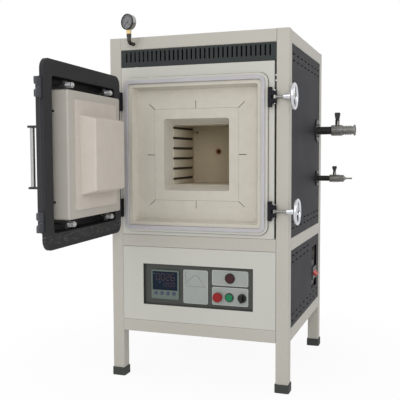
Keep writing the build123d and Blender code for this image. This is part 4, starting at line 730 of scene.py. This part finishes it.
# ------------------------------------------------------------------ programmer's keys
# Four dark blue silicone keys under the window, moulded as one mat behind the case's
# holes. Each has a pale mark printed in its middle, which moves with it, and the case
# has a dark oval printed round it.
key_names = ("key_set", "key_shift", "key_down", "key_up")
key_finish, net, shader = finish_called("key_rubber")
feed(shader, "Base Color", net.noise(300, 2).blend((0.01, 0.022, 0.06), (0.016, 0.032, 0.085)))
feed(shader, "Roughness", 0.45)
coat_nodes(key_finish, *key_names)

pale, net, shader = finish_called("pale_print")
feed(shader, "Base Color", net.noise(700, 2).blend((0.34, 0.40, 0.42), (0.48, 0.54, 0.56)))
feed(shader, "Roughness", 0.5)


def washers(feet, along, up, inner, outer, thick, flat=0.86, around=36):
    """Flat closed oval rings. Corner j of a square section goes round each foot as
    radius_j (cos, flat sin)(2 pi k / around) on the along-up plane, at height_j along
    their cross."""
    along, up = np.array(along, float), np.array(up, float)
    radius = np.array((inner, outer, outer, inner))[None, :, None]
    rise = np.array((0, 0, thick, thick))[None, :, None]
    turn = np.linspace(0, 2 * pi, around, endpoint=False)[:, None, None]
    spoke = np.cos(turn) * along + flat * np.sin(turn) * up
    ring = (radius * spoke + rise * np.cross(along, up)).reshape(-1, 3)
    points, faces = [], []
    for foot in feet:
        faces += (skin(around, 4, joined=True) + len(points)).tolist()
        points += (ring + np.array(foot)).tolist()
    return points, faces


print_thick = 0.00006
dash = [(-0.0017, -0.0004), (0.0017, -0.0004), (0.0017, 0.0004), (-0.0017, 0.0004)]
case_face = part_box("controller_case")[0][1]
oval_feet = []
for key in key_names:
    low, high = [np.array(i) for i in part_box(key)]
    middle = (low + high) / 2
    key_face = (middle[0], low[1], middle[2])
    mark_mesh = stamped([dash], key_face, *front_plane, print_thick)
    piece_from(key + "_mark", *mark_mesh, pale, key, "card")
    oval_feet.append((middle[0], case_face, middle[2]))
oval_mesh = washers(oval_feet, *front_plane, 0.0058, 0.0071, print_thick)
piece_from("key_ovals", *oval_mesh, key_finish, "cabinet", "key_rubber")

# ------------------------------------------------------------- card and button plates
# Laminated plastic plates glued to the fascia: the tall card beside the programmer, and
# the two plates that carry the lamp and the buttons. Each has a lighter bevelled rim.
plate_places = (
    # middle x, middle z, width, height
    (-0.0065, 0.316, 0.084, 0.110),
    (0.110, 0.3505, 0.120, 0.0495),
    (0.110, 0.2915, 0.120, 0.058),
)
rim_width = (0.0012, 0.0022)
plate_finish, net, shader = finish_called("plate_laminate")
x, _, z = net.place()
inside = []
for middle_x, middle_z, wide, tall in plate_places:
    from_side = wide / 2 - (x - middle_x).size()
    inside.append(from_side.math("MINIMUM", tall / 2 - (z - middle_z).size()))
deepest = inside[0].math("MAXIMUM", inside[1]).math("MAXIMUM", inside[2])
rim = 1.0 - deepest.ramp(*rim_width)
sheet_tone = net.noise(20, 3).blend((0.29, 0.315, 0.295), (0.34, 0.365, 0.345))
feed(shader, "Base Color", rim.blend(sheet_tone, (0.46, 0.48, 0.46)))
feed(shader, "Roughness", 0.3 + net.noise(80, 2) * 0.1)
coat_nodes(plate_finish, "panel_plates")

# --------------------------------------------------------------- card's heating curve
# Black screen print on the upper half of the tall card: two axes with their ticks, and
# a ramp, a hold and a cooling run. The rest of the card is bare.
card_corner = Vector((-0.0485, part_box("panel_plates")[0][1], 0.371))
ticks = 7
curve = [(0.0098, -0.043), (0.024, -0.0295), (0.0335, -0.0205), (0.038, -0.0182)]
curve += [(0.043, -0.0178), (0.048, -0.0188), (0.052, -0.0225)]
curve += [(0.0615, -0.0365), (0.072, -0.0515)]


def ribbon(path, wide):
    """Outline of a line of even width: half a width to each side of every point of the
    path, across the direction in which the path runs there."""
    path = np.array(path, float)
    run = np.gradient(path, axis=0)
    run /= np.linalg.norm(run, axis=1)[:, None]
    aside = np.stack((run[:, 1], -run[:, 0]), 1) * wide / 2
    return np.concatenate((path + aside, (path - aside)[::-1]))


ink, net, shader = finish_called("print_ink")
feed(shader, "Base Color", net.noise(900, 3).blend((0.03, 0.035, 0.035), (0.08, 0.085, 0.085)))
feed(shader, "Roughness", 0.6)
printed = [ribbon(curve, 0.0009)]
printed.append(ribbon([(0.0085, -0.053), (0.0085, -0.0085)], 0.0005))
printed.append(ribbon([(0.0085, -0.0528), (0.077, -0.0528)], 0.0005))
for tick in range(ticks):
    level = -0.046 + tick * 0.006
    printed.append(ribbon([(0.0058, level), (0.0082, level)], 0.0011))
    beside = 0.0145 + tick * 0.0098
    printed.append(ribbon([(beside, -0.0565), (beside, -0.0532)], 0.0011))
ink_mesh = stamped(printed, card_corner, *front_plane, 0.00005)
piece_from("card_graph", *ink_mesh, ink, "cabinet", "black_plastic")

# ----------------------------------------------- buttons, lamp lens, breaker's toggle
# Coloured plastic parts, injection moulded and glossy: the red and green push buttons,
# the alarm lamp's dark red lens and the circuit breaker's toggle.


def moulded(name, colour, rough=0.3):
    """Coloured plastic whose flow marks run down to 0.85 of its colour."""
    material, net, shader = finish_called(name)
    flow = net.noise(150, 3)
    feed(shader, "Base Color", flow.blend(shade(colour, 0.85), colour))
    feed(shader, "Roughness", rough + flow * 0.1)
    feed(shader, "Specular IOR Level", 0.28)
    return material


coat_nodes(moulded("stop_red", (0.27, 0.007, 0.009)), "stop_button")
coat_nodes(moulded("start_green", (0.004, 0.19, 0.075)), "start_button")
coat_nodes(moulded("alarm_red", (0.045, 0.006, 0.008), 0.12), "alarm_lens")
coat_nodes(moulded("toggle_red", (0.55, 0.03, 0.02), 0.35), "breaker_toggle")

# ---------------------------------------------------------------------- rotary switch
# Selector knob with a finger grip across it, moulded in a deeper black than the other
# fittings and pressed on the switch's shaft.
jet, net, shader = finish_called("knob_moulding")
feed(shader, "Base Color", net.noise(60, 4).blend((0.004, 0.004, 0.005), (0.010, 0.010, 0.011)))
feed(shader, "Roughness", 0.3)
feed(shader, "Specular IOR Level", 0.3)
coat_nodes(jet, "selector_knob")

# ---------------------------------------------------------- valves and breaker's rail
# Ball valve with its stepped hose end, needle valve with its thin pipe, and the rail
# behind the breaker. They are turned or folded stainless steel, lightly brushed. Their colour is
# painted far darker than bare stainless, as a painted reflection of the dark parts round them.
stainless, net, shader = finish_called("brushed_stainless")
brush = net.noise(700, 2, 0.5, (8, 1, 1))
mottle = net.noise(70, 4)
# Painted reflection: the steel is coloured far darker than bare stainless.
feed(shader, "Base Color", mottle.blend((0.14, 0.135, 0.125), (0.30, 0.29, 0.275)))
feed(shader, "Metallic", 1.0)
feed(shader, "Roughness", 0.28 + mottle * 0.18)
raised(shader, brush, 0.00008)
coat_nodes(stainless, "vacuum_valve", "gas_valve", "breaker_rail")

# ----------------------------------------------------------------------- port flanges
# Turned steel flanges on the right side cover, each with its pipe through it to the
# furnace. The flanges are blacked in oil, and their pipes are painted as dark, as a painted
# reflection of the dark side cover and the room round them.
blacked_and_reflection, net, shader = finish_called("blacked_steel_and_reflection")
mottle = net.noise(60, 4)
# The flanges' own black, and on their pipes a painted reflection of the dark side cover.
feed(shader, "Base Color", mottle.blend((0.02, 0.02, 0.021), (0.05, 0.048, 0.046)))
feed(shader, "Metallic", 0.75)
feed(shader, "Roughness", 0.34 + mottle * 0.16)
coat_nodes(blacked_and_reflection, "port_flanges")

# -------------------------------------------------------------- pressure gauge's case
# Pressed steel case with bright sides, a black snap-in bezel and a grey dial, screwed
# on its stem. The depth in front of the case's middle and the distance from its axis
# tell the three apart.
gauge_middle = Vector((-0.214, -0.335, 1.168))
gauge_turn = radians(19)
gauge_out = Vector((-sin(gauge_turn), -cos(gauge_turn), 0))
gauge_along = Vector((cos(gauge_turn), -sin(gauge_turn), 0))
gauge_finish, net, shader = finish_called("gauge_case_parts")
x, y, z = net.place()
x, y, z = x - gauge_middle.x, y - gauge_middle.y, z - gauge_middle.z
forward = x * gauge_out.x + y * gauge_out.y
sideways = x * gauge_along.x + y * gauge_along.y
radius = (sideways * sideways + z * z).math("SQRT")
bezel = forward.ramp(0.0058, 0.0060) * radius.ramp(0.02245, 0.0225)
dial_depth = forward.ramp(0.0058, 0.0059) * (1.0 - forward.ramp(0.0062, 0.0064))
dial = dial_depth * (1.0 - radius.ramp(0.02235, 0.0224))
mottle = net.noise(90, 4)
sides = mottle.blend((0.30, 0.30, 0.29), (0.50, 0.50, 0.49))
shell = bezel.blend(sides, (0.015, 0.015, 0.016))
feed(shader, "Base Color", dial.blend(shell, (0.175, 0.172, 0.185)))
feed(shader, "Metallic", (1.0 - bezel) * (1.0 - dial))
feed(shader, "Roughness", 0.26 + mottle * 0.16 + dial * 0.3)
coat_nodes(gauge_finish, "gauge_case")

# ----------------------------------------------------------------- gauge's dial print
# Black marks printed on the dial over three quarters of a turn, every tenth one longer
# and bolder, and a plain digit inside each of the bold ones.
dial_face = 0.006
first_mark, sweep = 225, 270
mark_count, bold_every = 51, 10
mark_outer, digit_ring = 0.0200, 0.0115
dial_digits = "021602"


def dial_turn(mark):
    """Cosine and sine of a mark's angle, which falls evenly from the first mark on."""
    turn = radians(first_mark - sweep * mark / (mark_count - 1))
    return np.array((cos(turn), sin(turn)))


dial_print = []
for mark in range(mark_count):
    inner, wide = (0.0172, 0.0007) if mark % bold_every else (0.0145, 0.0018)
    spoke = dial_turn(mark)
    dial_print.append(ribbon([inner * spoke, mark_outer * spoke], wide))
for place, digit in enumerate(dial_digits):
    bars = digit_bars(
        digit, left=-0.0013, top=0.002, wide=0.0026, tall=0.004, pitch=0.003, half=0.0004)
    dial_print += [bar + digit_ring * dial_turn(place * bold_every) for bar in bars]
dial_origin = gauge_middle + dial_face * gauge_out
dial_mesh = stamped(dial_print, dial_origin, gauge_along, (0, 0, 1), 0.00005)
piece_from("gauge_marks", *dial_mesh, ink, "cabinet", "black_plastic")

# ----------------------------------------------------------------------- gauge's stem
# Pipe that comes out of the frame's front and bends up, and the turned hexagonal fitting
# on it that the case is screwed into. Both are brass; the fitting is clean and the pipe
# below it is dark with soil.
fitting_foot = (1.1305, 1.1310)
brass, net, shader = finish_called("turned_brass")
mottle = net.noise(110, 4)
fitting = net.place()[2].ramp(*fitting_foot)
clean = mottle.blend((0.52, 0.38, 0.18), (0.70, 0.54, 0.28))
soiled = mottle.blend((0.03, 0.03, 0.028), (0.09, 0.085, 0.075))
feed(shader, "Base Color", fitting.blend(soiled, clean))
feed(shader, "Metallic", 1.0)
feed(shader, "Roughness", 0.28 + mottle * 0.2)
coat_nodes(brass, "gauge_stem")

# --------------------------------------------------------------------- gauge's window
# Flat disc of clear glass, held in the case by the bezel. It is nearly invisible apart
# from its reflections.
glass, net, shader = finish_called("gauge_window")
feed(shader, "Base Color", (0.9, 0.92, 0.92, 1))
feed(shader, "Roughness", 0.03 + net.noise(90, 2) * 0.03)
feed(shader, "Alpha", 0.04)
coat_nodes(glass, "gauge_glass")
